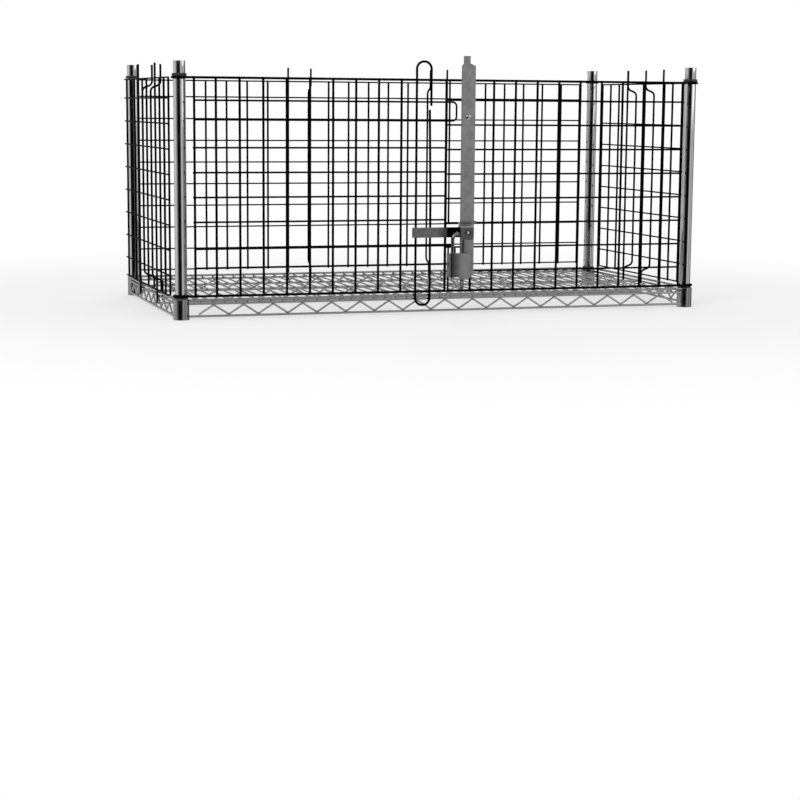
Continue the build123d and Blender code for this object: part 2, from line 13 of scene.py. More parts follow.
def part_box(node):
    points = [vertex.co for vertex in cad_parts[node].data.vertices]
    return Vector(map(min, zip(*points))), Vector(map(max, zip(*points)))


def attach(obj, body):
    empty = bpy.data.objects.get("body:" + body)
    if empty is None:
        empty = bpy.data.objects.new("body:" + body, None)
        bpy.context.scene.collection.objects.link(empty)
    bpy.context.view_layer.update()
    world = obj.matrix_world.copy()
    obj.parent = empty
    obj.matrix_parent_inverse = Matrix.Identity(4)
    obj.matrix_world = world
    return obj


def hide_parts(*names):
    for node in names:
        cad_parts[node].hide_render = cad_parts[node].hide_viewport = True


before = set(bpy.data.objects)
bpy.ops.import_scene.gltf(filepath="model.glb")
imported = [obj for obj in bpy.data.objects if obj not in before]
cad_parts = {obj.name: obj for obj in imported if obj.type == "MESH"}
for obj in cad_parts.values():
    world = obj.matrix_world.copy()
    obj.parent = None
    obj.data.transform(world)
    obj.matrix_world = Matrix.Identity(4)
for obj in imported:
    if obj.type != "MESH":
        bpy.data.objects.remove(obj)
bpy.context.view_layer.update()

bl_info = {
    "name": "Wire Security Cage",
    "version": (1, 0, 0),
    "blender": (4, 5, 0),
    "location": "3D View > Sidebar > Security Cage",
    "description": "Builds the finished look of a lockable wire cage round its CAD frame",
    "category": "Object",
}

MM = 0.001
X, Y, Z = 0, 1, 2
RIGHT, UP, BACK = (1.0, 0.0, 0.0), (0.0, 0.0, 1.0), (0.0, 1.0, 0.0)

# Angles in degrees: past the first three an edge stays sharp, on most pieces, the nut and the arm.
# On the copy of a CAD piece an edge past the next is rounded, and faces within the last are joined
SHARP_EDGE, SHARP_NUT_EDGE, SHARP_ARM_EDGE = 38.0, 25.0, 30.0
ROUNDED_EDGE, FLAT_WITHIN = 32.0, 0.6
SAME_PLACE_DIGITS = 7

# Points drawn on a hinge ring, on the shackle's bow, on a hole's edge and on a domed head
RING_POINTS, BOW_POINTS, HOLE_POINTS, DOME_POINTS = 55, 33, 40, 12

# Wires and the meshes that they make
FLATS_OVER_CORNERS = 1 / np.cos(np.radians(30))
UPRIGHT_PITCH = 50.8 * MM
DECK_PITCH = 25.4 * MM
MESH_ROWS = 8
LEFT_DOOR_ROWS = 4
CUT_ROW = 1
BACK_ROWS_UP = (7.0 * MM, 57.1 * MM)
BACK_ROW_PITCH = 51.6 * MM
UPRIGHT_PAST_ROW = 3.0 * MM
WIRE_SIDES = 14
WIRE_FULLNESS = 1.08
END_BEVEL = 0.28
WELD_SPREAD = 1.25
WELD_RISE = 0.9 * MM
BEAD_SIDES = 8
BEAD_LATITUDE = 48.0

# Posts, collars and sleeves
POST_WALL = 1.25 * MM
POST_GROOVE_DEEP = 0.6 * MM
POST_GROOVE_TALL = 2.4 * MM
POST_STUB = 25.86 * MM
POST_EDGE = 0.25 * MM
COLLAR_TAPER = 0.5 * MM
COLLAR_EDGE = 0.7 * MM
SLEEVE_WALL = 2.4 * MM
SLEEVE_TAPER = 0.55 * MM
SLEEVE_FIT = 0.03 * MM
SLEEVE_SLIT = 0.8 * MM
SLEEVE_EDGE = 0.35 * MM
RIM_EDGE = 0.5 * MM
TURNED_SIDES = 64

# Bends of the shelf, panel and door wires
ZIGZAG_PITCH = 63.5 * MM
ZIGZAG_BEND = 7.0 * MM
ZIGZAG_SUNK = 0.25 * MM
ZIGZAG_SIDES = 12
ZIGZAG_BEAD_LONG, ZIGZAG_BEAD_TALL = 2.6 * MM, 1.9 * MM
HOOK_JOG = 22.0 * MM
HOOK_JOG_TALL = 8.0 * MM
HOOK_STRAIGHT = 44.0 * MM
HOOK_BEND = 11.0 * MM
RING_TURN = 270.0
KEEPER_TALL = 40.0 * MM
KEEPER_BEND = 9.0 * MM
LOOP_JOINT_DOWN = (102.5 * MM, 94.2 * MM)
LOOP_JOINT_SHIFT = 3.2 * MM
LOOP_SLANT_TALL = 193.5 * MM
LOOP_FLAT = 0.5 * MM

# Lock bar, bracket and pivot
PLATE_EDGE = 0.45 * MM
SHEET = 2.0 * MM
FOLD_BEND = 3.2 * MM
BRACKET_WIDE = 30.5 * MM
BRACKET_OUT = 6.6 * MM
BRACKET_CORNER = 8.0 * MM
BRACKET_CORNER_FROM = 8.0
BRACKET_ROOF_DROP = 9.0 * MM
TAB_TALL = 6.0 * MM
FLANGE_PAST_ARM = 0.7 * MM
FLANGE_UNDER_ROOF = 5.2 * MM
HASP_HOLE_R = 5.5 * MM
RIVET_R = 3.6 * MM
RIVET_SHOULDER_R = 5.5 * MM
RIVET_TAIL = 1.5 * MM
RIVET_TAIL_BEVEL = 0.5 * MM
RIVET_PLAY = 0.1 * MM
WASHER_EDGE = 0.25 * MM
BOLT_R = 3.0 * MM
BOLT_TIP_R = 2.4 * MM
BOLT_TIP_TALL = 0.6 * MM
NUT_BEVEL = 0.6 * MM
FASTENER_SIDES = 48
TONGUE_IN, TONGUE_WIDE, TONGUE_TALL = 4.3 * MM, 15.2 * MM, 16.0 * MM
SHOULDER_TALL = 5.0 * MM
BAR_CORNER = 14.0 * MM
FOOT_IN, FOOT_WIDE, FOOT_TALL = 1.3 * MM, 8.0 * MM, 25.0 * MM
BAR_BEND = FOOT_IN / 2.5
FOOT_SLOT_UP, FOOT_SLOT_R, FOOT_SLOT_TALL = 12.0 * MM, 1.8 * MM, 6.4 * MM
CUT_CORNER = 0.8 * MM
BOLT_HEAD_TALL = 3.2 * MM
HEAD_EDGE_SHARE = 0.35
DOME_MIDDLE = 4.0

# Padlock
PADLOCK_TURN = 6.0
PADLOCK_EDGE = 1.3 * MM
PADLOCK_WIDER = 5.5 * MM
PLUG_EDGE = 0.25 * MM
SHACKLE_R = 4.0 * MM
SHACKLE_GAP = 25.8 * MM
SHACKLE_SIDES = 28
BORE_OVER_SHACKLE = 1.1
SHORT_LEG_IN = 9.0 * MM

# Finishes. Places are from the arm's tip, the bracket's fold, the top of the bar's foot, the rivet's
# axis and the padlock's middle. The shades, shadows and highlights there are painted light. A level is how
# bright a place there is, where the plain plate is 1, and the painted shade's depth is how much of the
# brightness it takes
CLOUD_SPAN = (0.3, 0.7)
POLYPROPYLENE_IOR = 1.49
DARK_PLATE_EDGE = 0.18
ARM_SHADE_LEVEL, ARM_PAINTED_SHADOW_LEVEL = 0.42, 0.04
ROOF_PAINTED_HIGHLIGHT_LEVEL, ROOF_SHADE_LEVEL = 3.0, 0.6
FOOT_PAINTED_SHADE_LEVEL = 0.42
RIVET_PAINTED_HIGHLIGHT_LEVEL, RIVET_PAINTED_SHADE_LEVEL = 1.6, 0.12
PAINTED_SHADE_DEPTH = 0.80
ARM_SHADE = (54 * MM, 78 * MM)
ARM_PAINTED_SHADOW = (75 * MM, 82 * MM)
ROOF_PAINTED_HIGHLIGHT = (-1.5 * MM, 0.0)
ROOF_SHADE = (3.5 * MM, 6 * MM)
FOOT_PAINTED_SHADE = (-6 * MM, 2 * MM)
RIVET_PAINTED_HIGHLIGHT_R, RIVET_PAINTED_SHADE_R = 2.6 * MM, 3.2 * MM
PAINTED_SHADE_ACROSS = (-19 * MM, 10 * MM)
PADLOCK_FRONT = (-9 * MM, -11 * MM)

# Studio, in metres. Walls are (compass direction in degrees from the right, how bright), as mirrored
FLOOR_HALF = 6.0
FLOOR_FADE = (0.75, 1.9)
FLOOR_WHITE = 0.5
FLOOR_SPECK = 60 * MM
LAMPS = (("key", (-2.2, -2.8, 2.6), 1.8, 62.0), ("fill", (2.8, -2.2, 1.8), 2.2, 26.0),
         ("back", (0.6, 2.8, 2.4), 2.0, 30.0))
LAMPS_LOOK_AT = (0, 0, 0.25)
WALLS = ((-180, 0.77), (-168, 0.60), (-155, 0.30), (-143, 0.05), (-134, 0.0), (-93, 0.0), (-84, 0.22),
         (-70, 0.95), (-60, 0.90), (-48, 0.45), (-32, 0.45), (-22, 0.98), (-6, 0.98), (3, 0.04),
         (24, 0.04), (36, 0.60), (58, 0.50), (74, 0.42), (92, 0.60), (113, 0.70), (140, 0.88),
         (160, 0.95), (180, 0.77))
WALL_TO_CEILING = (0.30, 0.55)
SOFT_LIGHT = 0.55

# Camera, measured against the photograph: place in millimetres, angles in degrees
CAMERA_AT = (-1389.5, -4318.5, 455.5)
CAMERA_YAW, CAMERA_PITCH, CAMERA_ROLL = 17.676, -8.637, 0.438
CAMERA_LENS, CAMERA_SENSOR = 87.71, 36.0


def linear(hex_colour):
    """An sRGB hex colour as linear red, green and blue."""
    srgb = np.array([int(hex_colour[i:i + 2], 16) / 255 for i in (1, 3, 5)])
    return tuple(np.where(srgb <= 0.04045, srgb / 12.92, ((srgb + 0.055) / 1.055) ** 2.4))


def wire_property(name, diameter, description):
    """A wire's size, from a diameter in millimetres."""
    return bpy.props.FloatProperty(name=name, unit="LENGTH", default=diameter * MM,
                                   description=description)


class CageSizes(bpy.types.PropertyGroup):
    """Wire sizes that a user may change, each by diameter."""
    frame_wire: wire_property("Frame wire", 4.8, "Hinge wires, door uprights, chords and rails")
    cross_wire: wire_property("Cross wire", 3.8, "Cross wires and keeper loops of the doors")
    panel_upright: wire_property("Panel upright", 4.4, "Uprights, prongs and hooks of the panels")
    panel_cross: wire_property("Panel cross wire", 3.2, "Cross wires of the panels")
    zigzag_wire: wire_property("Zigzag wire", 3.8, "Bent wires of the shelf trusses")
    deck_wire: wire_property("Deck wire", 3.2, "Wires of the shelf floor")


def colour_property(name, hex_colour, description):
    """A finish's colour, from an sRGB hex value."""
    return bpy.props.FloatVectorProperty(name=name, subtype="COLOR", size=3, min=0.0, max=1.0,
                                         default=linear(hex_colour), description=description)


class CageColours(bpy.types.PropertyGroup):
    """Colours of the finishes."""
    post_chrome: colour_property("Post chrome", "#bebebe", "Bright chrome on the tube posts")
    shelf_chrome: colour_property("Shelf chrome", "#8a8a8a", "Chrome on the shelf's wires")
    panel_wire: colour_property("Panel wire", "#151515", "Dark drawn wire of the panels")
    door_wire: colour_property("Door wire", "#0d0d0d", "Dark drawn wire of the doors")
    bar_steel: colour_property("Bar steel", "#929292", "Satin plate on the lock bar")
    latch_steel: colour_property("Latch steel", "#787878", "Satin plate on the latch arm")
    bracket_steel: colour_property("Bracket steel", "#5e5e5e", "Satin plate on the hasp bracket")
    fastener_steel: colour_property("Fasteners", "#9c9c9c", "Bright plate on the fasteners")
    padlock_case: colour_property("Padlock case", "#8c8c8c", "Satin steel of the padlock")
    brass: colour_property("Brass", "#b8924a", "Plug of the padlock")
    sleeve_plastic: colour_property("Sleeve plastic", "#151515", "Black moulded sleeves")
    floor: colour_property("Floor", "#f6f6f6", "Studio floor")


def sizes():
    """The wire sizes that are set."""
    return bpy.context.scene.cage_sizes


def colours():
    """The colours that are set."""
    return bpy.context.scene.cage_colours


def corners(*nodes):
    """Lowest and highest corner of one or more CAD nodes, as arrays."""
    boxes = np.array([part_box(node) for node in nodes])
    return boxes[:, 0].min(axis=0), boxes[:, 1].max(axis=0)


def middle(*nodes):
    """Middle of the box round one or more CAD nodes."""
    low, high = corners(*nodes)
    return (low + high) / 2


def signed_volume(points, faces):
    """Six times the volume that faces enclose, from a fan of triangles in each. Outward is plus."""
    total = 0.0
    for count in {len(face) for face in faces}:
        fans = points[np.array([face for face in faces if len(face) == count])]
        for i in range(1, count - 1):
            total += np.einsum("ij,ij->", fans[:, 0], np.cross(fans[:, i], fans[:, i + 1]))
    return total


def joined(parts):
    """Several closed shells as one set of points and faces, each with its faces turned outwards."""
    points, faces, start = [], [], 0
    for part_points, part_faces in parts:
        part_faces = [tuple(int(i) for i in face) for face in part_faces]
        if signed_volume(part_points - part_points.mean(axis=0), part_faces) < 0:
            part_faces = [face[::-1] for face in part_faces]
        points.append(part_points)
        faces += [tuple(i + start for i in face) for face in part_faces]
        start += len(part_points)
    return np.concatenate(points), faces


def piece(node, made_as, shells, material, body="cage_frame", sharp=SHARP_EDGE):
    """One visible piece that stands for a CAD node: closed shells joined to a mesh."""
    name = f"{node}_{made_as}"
    points, faces = joined(shells)
    mesh = bpy.data.meshes.new(name)
    mesh.from_pydata(points.tolist(), [], faces)
    mesh.validate()
    return placed(name, mesh, [node], body, material, sharp)


def placed(name, mesh, nodes, body, material, sharp=SHARP_EDGE):
    """A mesh as an object that stands for CAD nodes and rides on their body.

    It is smooth except at edges sharper than an angle in degrees.
    """
    mesh.shade_smooth()
    mesh.set_sharp_from_angle(angle=np.radians(sharp))
    mesh.materials.clear()
    mesh.materials.append(material)
    made = bpy.data.objects.new(name, mesh)
    bpy.context.scene.collection.objects.link(made)
    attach(made, body)
    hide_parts(*nodes)
    return made


def skin(rings, closed):
    """Quads between successive rings of points; closed also joins the last ring to the first."""
    count, sides = rings
    first = np.arange(count if closed else count - 1)[:, None] * sides
    around = np.arange(sides)[None, :]
    following = (around + 1) % sides
    above = (first + sides) % (count * sides)
    quads = np.stack([first + around, above + around, above + following, first + following], axis=-1)
    return quads.reshape(-1, 4)


def wires(paths, facing, radius, sides=WIRE_SIDES):
    """Round wires along a stack of equal paths that lie square to facing.

    A ring stands at each point of a path: centre + r (cos a * facing + sin a * side), where side is
    facing x run and run is the direction between the neighbouring points. Each end is bevelled: a
    last ring at (1 - bevel) r closes it, and the full ring stands bevel * r inside. The radius is
    that of the flats of the CAD's six-sided wire, and the round wire stands between its flats and
    its corners.
    """
    radius = radius * WIRE_FULLNESS
    paths = np.asarray(paths, float)
    facing = np.asarray(facing, float)
    run = np.gradient(paths, axis=1)
    run /= np.linalg.norm(run, axis=2, keepdims=True)
    bevel = END_BEVEL * radius
    ends = paths[:, :1], paths[:, -1:]
    inside = ends[0] + bevel * run[:, :1], ends[1] - bevel * run[:, -1:]
    centres = np.concatenate([ends[0], inside[0], paths[:, 1:-1], inside[1], ends[1]], axis=1)
    run = np.concatenate([run[:, :1], run, run[:, -1:]], axis=1)
    side = np.cross(facing, run)
    scale = np.ones(centres.shape[1])
    scale[[0, -1]] = 1 - END_BEVEL
    angle = np.linspace(0, 2 * np.pi, sides, endpoint=False)[:, None]
    spoke = np.cos(angle) * facing + np.sin(angle) * side[:, :, None, :]
    points = centres[:, :, None, :] + radius * scale[None, :, None, None] * spoke
    rings = centres.shape[1]
    walls = skin((rings, sides), closed=False)
    caps = [tuple(range(sides)), tuple(range((rings - 1) * sides, rings * sides))[::-1]]
    return [(shell.reshape(-1, 3), [*walls, *caps]) for shell in points]


def straight(starts, ends, facing, radius, sides=WIRE_SIDES):
    """Round straight wires from each start to each end."""
    return wires(np.stack(np.broadcast_arrays(starts, ends), axis=1), facing, radius, sides)


def along(axis, low, high, spots, facing, radius):
    """Straight wires that run along one axis between low and high, one through each spot."""
    starts = np.array(spots, float)
    ends = starts.copy()
    starts[:, axis], ends[:, axis] = low, high
    return straight(starts, ends, facing, radius)


def rounded(points, bend, step=9.0):
    """A path of straight runs whose corners are arcs that touch both runs.

    With unit directions p in and q out of a corner that turns by t, the arc starts bend * tan(t / 2)
    before the corner. Its centre lies bend along n, the part of q that is square to p, and its
    points are centre + bend (sin f * p - cos f * n) for f from 0 to t. Bend is one size for all
    corners or a size for each.
    """
    points = [np.asarray(point, float) for point in points]
    path = [points[0]]
    bends = np.broadcast_to(bend, len(points) - 2)
    for before, corner, after, bend in zip(points, points[1:], points[2:], bends):
        p = (corner - before) / np.linalg.norm(corner - before)
        q = (after - corner) / np.linalg.norm(after - corner)
        turn = np.arccos(np.clip(p @ q, -1, 1))
        n = q - p * (p @ q)
        n /= np.linalg.norm(n)
        centre = corner - p * bend * np.tan(turn / 2) + n * bend
        f = np.linspace(0, turn, max(3, int(np.degrees(turn) / step) + 1))[:, None]
        path += list(centre + bend * (np.sin(f) * p - np.cos(f) * n))
    return np.array(path + [points[-1]])


def welds(centres, half_sizes):
    """Small flattened balls of weld metal where wires cross.

    A ball's points are centre + (a cos u cos v, b sin u cos v, c sin v) with two poles.
    """
    u = np.linspace(0, 2 * np.pi, BEAD_SIDES, endpoint=False)[None, :]
    v = np.radians([-BEAD_LATITUDE, 0.0, BEAD_LATITUDE])[:, None]
    ball = np.stack([np.cos(u) * np.cos(v), np.sin(u) * np.cos(v), np.sin(v) + 0 * u], axis=-1)
    ball = np.concatenate([ball.reshape(-1, 3), [[0, 0, -1], [0, 0, 1]]]) * np.asarray(half_sizes)
    upper, low_pole = 2 * BEAD_SIDES, 3 * BEAD_SIDES
    faces = [tuple(face) for face in skin((3, BEAD_SIDES), closed=False)]
    faces += [(low_pole, i, (i + 1) % BEAD_SIDES) for i in range(BEAD_SIDES)]
    faces += [(low_pole + 1, upper + (i + 1) % BEAD_SIDES, upper + i) for i in range(BEAD_SIDES)]
    return [(centre + ball, faces) for centre in np.asarray(centres)]


def crossings(first_axis, first, second_axis, second, third_axis, third):
    """Points at every pairing of two rows of places, all at one depth on the third axis."""
    a, b = np.meshgrid(first, second)
    spots = np.empty((a.size, 3))
    spots[:, first_axis], spots[:, second_axis], spots[:, third_axis] = a.ravel(), b.ravel(), third
    return spots


def turned(profile, centre, axis=Z, sides=TURNED_SIDES, ring=False, corners_at=0.0):
    """A turned piece: profile points (r, h) go round an axis through centre.

    A point is centre + (r cos a, r sin a, h), or with a front-facing axis centre + (r cos a, -h,
    r sin a). A ring's profile closes on itself; any other is closed by a flat face at each end.
    """
    profile = np.asarray(profile, float)
    angle = np.linspace(0, 2 * np.pi, sides, endpoint=False) + corners_at
    r, h = profile[:, :1], profile[:, 1:]
    across, beside, height = r * np.cos(angle), r * np.sin(angle), h + 0 * angle
    layout = (across, beside, height) if axis == Z else (across, -height, beside)
    points = np.stack(layout, axis=-1).reshape(-1, 3) + np.asarray(centre)
    faces = list(skin((len(profile), sides), closed=ring))
    if not ring:
        last = (len(profile) - 1) * sides
        faces += [tuple(range(sides)), tuple(range(last, last + sides))[::-1]]
    return points, faces


def softened(outline, edge, step=22.0):
    """A closed outline of pairs of places with each corner rounded by an arc."""
    outline = [np.array([u, 0, v]) for u, v in outline]
    start = (outline[0] + outline[-1]) / 2
    return rounded([start, *outline, start], edge, step)[:-1][:, [0, 2]]


def merged_copy(node):
    """A copy of a CAD node's surface with its loose triangles merged and its flat faces whole."""
    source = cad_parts[node].data
    points = np.empty(len(source.vertices) * 3)
    source.vertices.foreach_get("co", points)
    corner_points = np.empty(len(source.loops), int)
    source.loops.foreach_get("vertex_index", corner_points)
    points = np.round(points.reshape(-1, 3), SAME_PLACE_DIGITS)
    unique, index = np.unique(points, axis=0, return_inverse=True)
    triangles = index.reshape(-1)[corner_points].reshape(-1, 3)
    mesh = bpy.data.meshes.new(node)
    mesh.from_pydata(unique.tolist(), [], triangles.tolist())
    work = bmesh.new()
    work.from_mesh(mesh)
    bmesh.ops.dissolve_limit(work, angle_limit=np.radians(FLAT_WITHIN), verts=work.verts,
                             edges=work.edges)
    work.to_mesh(mesh)
    work.free()
    return mesh


def edge_rounding(made, width):
    """A small round on every sharp edge."""
    bevel = made.modifiers.new("edges", "BEVEL")
    bevel.width = width
    bevel.segments = 3
    bevel.limit_method = "ANGLE"
    bevel.angle_limit = np.radians(ROUNDED_EDGE)
    return made


def soft_copy(node, body, material, width):
    """A CAD piece's own shape with rounded edges."""
    made = placed(f"{node}_finished", merged_copy(node), [node], body, material)
    return edge_rounding(made, width)


def add(tree, kind, values=None, links=None, **settings):
    """Adds one shader node with its settings, its sockets' values and its incoming links."""
    node = tree.nodes.new(kind)
    for key, value in settings.items():
        setattr(node, key, value)
    for socket, value in (values or {}).items():
        node.inputs[socket].default_value = value
    for socket, source in (links or {}).items():
        tree.links.new(source, node.inputs[socket])
    return node


def new_material(name):
    """A material, its tree, its shader and its Object coordinates."""
    made = bpy.data.materials.new(name)
    made.use_nodes = True
    tree = made.node_tree
    shader = tree.nodes["Principled BSDF"]
    place = add(tree, "ShaderNodeTexCoord").outputs["Object"]
    return made, tree, shader, place


def clouded_finish(name, colour, tint, rough, grain, depth, stretch=(1, 1, 1), patch=38 * MM,
                   detail=(4.0, 4.0), metallic=1.0):
    """A material that clouds and fine lines vary.

    Clouds about patch metres wide carry its colour from tint[0] to tint[1] times as bright, and its
    roughness between the two of rough, over CLOUD_SPAN of their noise. Lines about grain metres wide,
    and longer along an axis whose stretch is over 1, stand depth metres high. Real lines from
    grinding, rolling, brushing or turning are too fine to show in a render, so they are drawn as
    coarse as they need to show.
    """
    made, tree, shader, place = new_material(name)
    shader.inputs["Metallic"].default_value = metallic
    patterns = []
    for wide, longer, octaves in ((patch, (1, 1, 1), detail[0]), (grain, stretch, detail[1])):
        scaled = add(tree, "ShaderNodeMapping", {"Scale": [1 / (wide * times) for times in longer]},
                     {"Vector": place})
        patterns.append(add(tree, "ShaderNodeTexNoise", {"Scale": 1.0, "Detail": octaves},
                            {"Vector": scaled.outputs["Vector"]}).outputs["Fac"])
    cloud, lines = patterns
    mixed = add(tree, "ShaderNodeMix", tints(colour, tint), {0: cloud}, data_type="RGBA")
    hazed = add(tree, "ShaderNodeMapRange", {"From Min": CLOUD_SPAN[0], "From Max": CLOUD_SPAN[1],
                                             "To Min": rough[0], "To Max": rough[1]}, {"Value": cloud})
    bump = add(tree, "ShaderNodeBump", {"Strength": 1.0, "Distance": depth}, {"Height": lines})
    tree.links.new(mixed.outputs[2], shader.inputs["Base Color"])
    tree.links.new(hazed.outputs["Result"], shader.inputs["Roughness"])
    tree.links.new(bump.outputs["Normal"], shader.inputs["Normal"])
    return made


def tints(colour, times):
    """The two colours that a Mix node goes between: one colour, dimmed or raised by two factors."""
    return {6 + i: (*(min(1.0, part * k) for part in colour), 1.0) for i, k in enumerate(times)}


def scaled_colour(made, factor):
    """Multiplies a material's colour by a factor that a pattern gives."""
    tree, shader = made.node_tree, made.node_tree.nodes["Principled BSDF"]
    colour = shader.inputs["Base Color"].links[0].from_socket
    scaled = add(tree, "ShaderNodeVectorMath", links={0: colour, "Scale": factor}, operation="SCALE")
    tree.links.new(scaled.outputs["Vector"], shader.inputs["Base Color"])
    return made


def rise(tree, place, axis, span, low, high):
    """A smooth rise from low to high between two places on an axis of a point."""
    parts = add(tree, "ShaderNodeSeparateXYZ", links={"Vector": place})
    return add(tree, "ShaderNodeMapRange",
               {"From Min": span[0], "From Max": span[1], "To Min": low, "To Max": high},
               {"Value": parts.outputs[axis]}, interpolation_type="SMOOTHSTEP").outputs["Result"]


def object_place(made):
    """The Object coordinates of a material."""
    nodes = made.node_tree.nodes
    return next(node for node in nodes if node.type == "TEX_COORD").outputs["Object"]


def shaded(made, axis, start, *rises):
    """Multiplies a material's colour by rises along an axis, each a span from start and two levels."""
    for (near, far), low, high in rises:
        span = start + near, start + far
        scaled_colour(made, rise(made.node_tree, object_place(made), axis, span, low, high))
    return made


def chrome_tube():
    """Welded steel tube, ground and chrome plated: a clear mirror with faint lines along the tube."""
    return clouded_finish("chrome_plated_steel_tube", colours().post_chrome, tint=(0.93, 1.03),
                          rough=(0.06, 0.15), grain=1.1 * MM, depth=0.02 * MM, stretch=(1, 1, 30))


def chrome_wire():
    """Drawn steel wire, welded and then chrome plated: bright, with patches of haze."""
    return clouded_finish("chrome_plated_wire", colours().shelf_chrome, tint=(0.82, 1.10),
                          rough=(0.12, 0.24), grain=6.0 * MM, depth=0.010 * MM)


def chrome_collar():
    """Stamped steel collar under chrome plate: a softer mirror that shows the stamping's waves."""
    return clouded_finish("chrome_plated_collar", colours().shelf_chrome, tint=(0.9, 1.05),
                          rough=(0.12, 0.24), grain=6.0 * MM, depth=0.10 * MM)


def dark_wire(name, colour, rough):
    """Drawn wire under dark plate, whose reflections stay dark at its edges and along its length."""
    made = clouded_finish(name, colour, tint=(0.80, 1.20), rough=rough, grain=6.0 * MM, depth=0.008 * MM)
    shader = made.node_tree.nodes["Principled BSDF"]
    shader.inputs["Specular Tint"].default_value = (*3 * (DARK_PLATE_EDGE,), 1.0)
    return made


def dark_panel_wire():
    """Thin drawn wire under dark bright plate: dark, with a fine reflection along its top."""
    return dark_wire("dark_plated_panel_wire", colours().panel_wire, rough=(0.18, 0.30))


def dark_door_wire():
    """Heavier drawn wire under the same dark plate: nearly black with narrow reflections."""
    return dark_wire("dark_plated_door_wire", colours().door_wire, rough=(0.18, 0.28))


def rolled_bar():
    """Cold rolled flat bar under satin plate: soft sheen, roll lines along the bar, dull patches, and
    painted shade on its narrow foot."""
    made = clouded_finish("satin_plated_rolled_bar", colours().bar_steel, tint=(0.50, 1.26),
                          rough=(0.34, 0.50), grain=0.9 * MM, depth=0.05 * MM, stretch=(1, 1, 40),
                          patch=16 * MM)
    # Painted shade darkens the bar's narrow foot
    return shaded(made, Z, corners("lock_bar")[0][Z] + FOOT_TALL, (FOOT_PAINTED_SHADE, FOOT_PAINTED_SHADE_LEVEL, 1.0))


def rolled_arm():
    """The same rolled steel, darker and mottled, with painted shade towards the bracket and a nearly black
    painted shadow under it, where it turns on its pivot.
    """
    made = clouded_finish("satin_plated_latch_steel", colours().latch_steel, tint=(0.30, 1.42),
                          rough=(0.36, 0.54), grain=0.9 * MM, depth=0.05 * MM, stretch=(40, 1, 1),
                          patch=6 * MM)
    # Painted shade darkens the arm towards the bracket, and a painted shadow turns it nearly black under
    # the bracket
    tip = corners("latch_arm")[0][X]
    return shaded(made, X, tip, (ARM_SHADE, 1.0, ARM_SHADE_LEVEL),
                  (ARM_PAINTED_SHADOW, 1.0, ARM_PAINTED_SHADOW_LEVEL))


def pressed_sheet():
    """Pressed sheet steel under satin plate: dull and dark, with a painted highlight on the sloping roof
    and painted shade on its upper part.
    """
    made = clouded_finish("satin_plated_pressed_sheet", colours().bracket_steel, tint=(0.70, 1.15),
                          rough=(0.32, 0.46), grain=1.6 * MM, depth=0.04 * MM, patch=8 * MM)
    # A painted highlight brightens the sloping roof above the fold, and painted shade darkens its upper
    # part
    fold = corners("hasp_bracket")[1][Z] - TAB_TALL / 2 - BRACKET_ROOF_DROP
    return shaded(made, Z, fold, (ROOF_PAINTED_HIGHLIGHT, 1.0, ROOF_PAINTED_HIGHLIGHT_LEVEL),
                  (ROOF_SHADE, 1.0, ROOF_SHADE_LEVEL))


def bright_fastener():
    """Cold headed steel under bright zinc: a light, slightly milky mirror."""
    return clouded_finish("zinc_plated_fastener", colours().fastener_steel, tint=(0.86, 1.08),
                          rough=(0.12, 0.22), grain=3.0 * MM, depth=0.01 * MM)


def rivet_with_painted_highlight():
    """The same zinc plate on the pivot's head, with a painted highlight in its middle and nearly black
    painted shade from its hollow outwards.
    """
    made = clouded_finish("rivet_with_painted_highlight", colours().fastener_steel, tint=(0.90, 1.10),
                          rough=(0.12, 0.20), grain=3.0 * MM, depth=0.01 * MM)
    # A painted highlight brightens the middle of the head, and painted shade darkens all the rest nearly
    # to black
    tree, pivot = made.node_tree, middle("pivot_rivet")
    beside = add(tree, "ShaderNodeMapping", {"Location": (-pivot[X], 0, -pivot[Z]), "Scale": (1, 0, 1)},
                 {"Vector": object_place(made)})
    away = add(tree, "ShaderNodeVectorMath", links={0: beside.outputs["Vector"]}, operation="LENGTH")
    hollow = add(tree, "ShaderNodeMapRange", {"From Min": RIVET_PAINTED_HIGHLIGHT_R, "From Max": RIVET_PAINTED_SHADE_R,
                                              "To Min": RIVET_PAINTED_HIGHLIGHT_LEVEL, "To Max": RIVET_PAINTED_SHADE_LEVEL},
                 {"Value": away.outputs["Value"]})
    return scaled_colour(made, hollow.outputs["Result"])


def polished_shackle():
    """Hardened and polished bar: a clear grey mirror with faint lines along it."""
    return clouded_finish("polished_hardened_bar", colours().latch_steel, tint=(0.70, 1.05),
                          rough=(0.10, 0.20), grain=0.8 * MM, depth=0.02 * MM, stretch=(1, 1, 12))


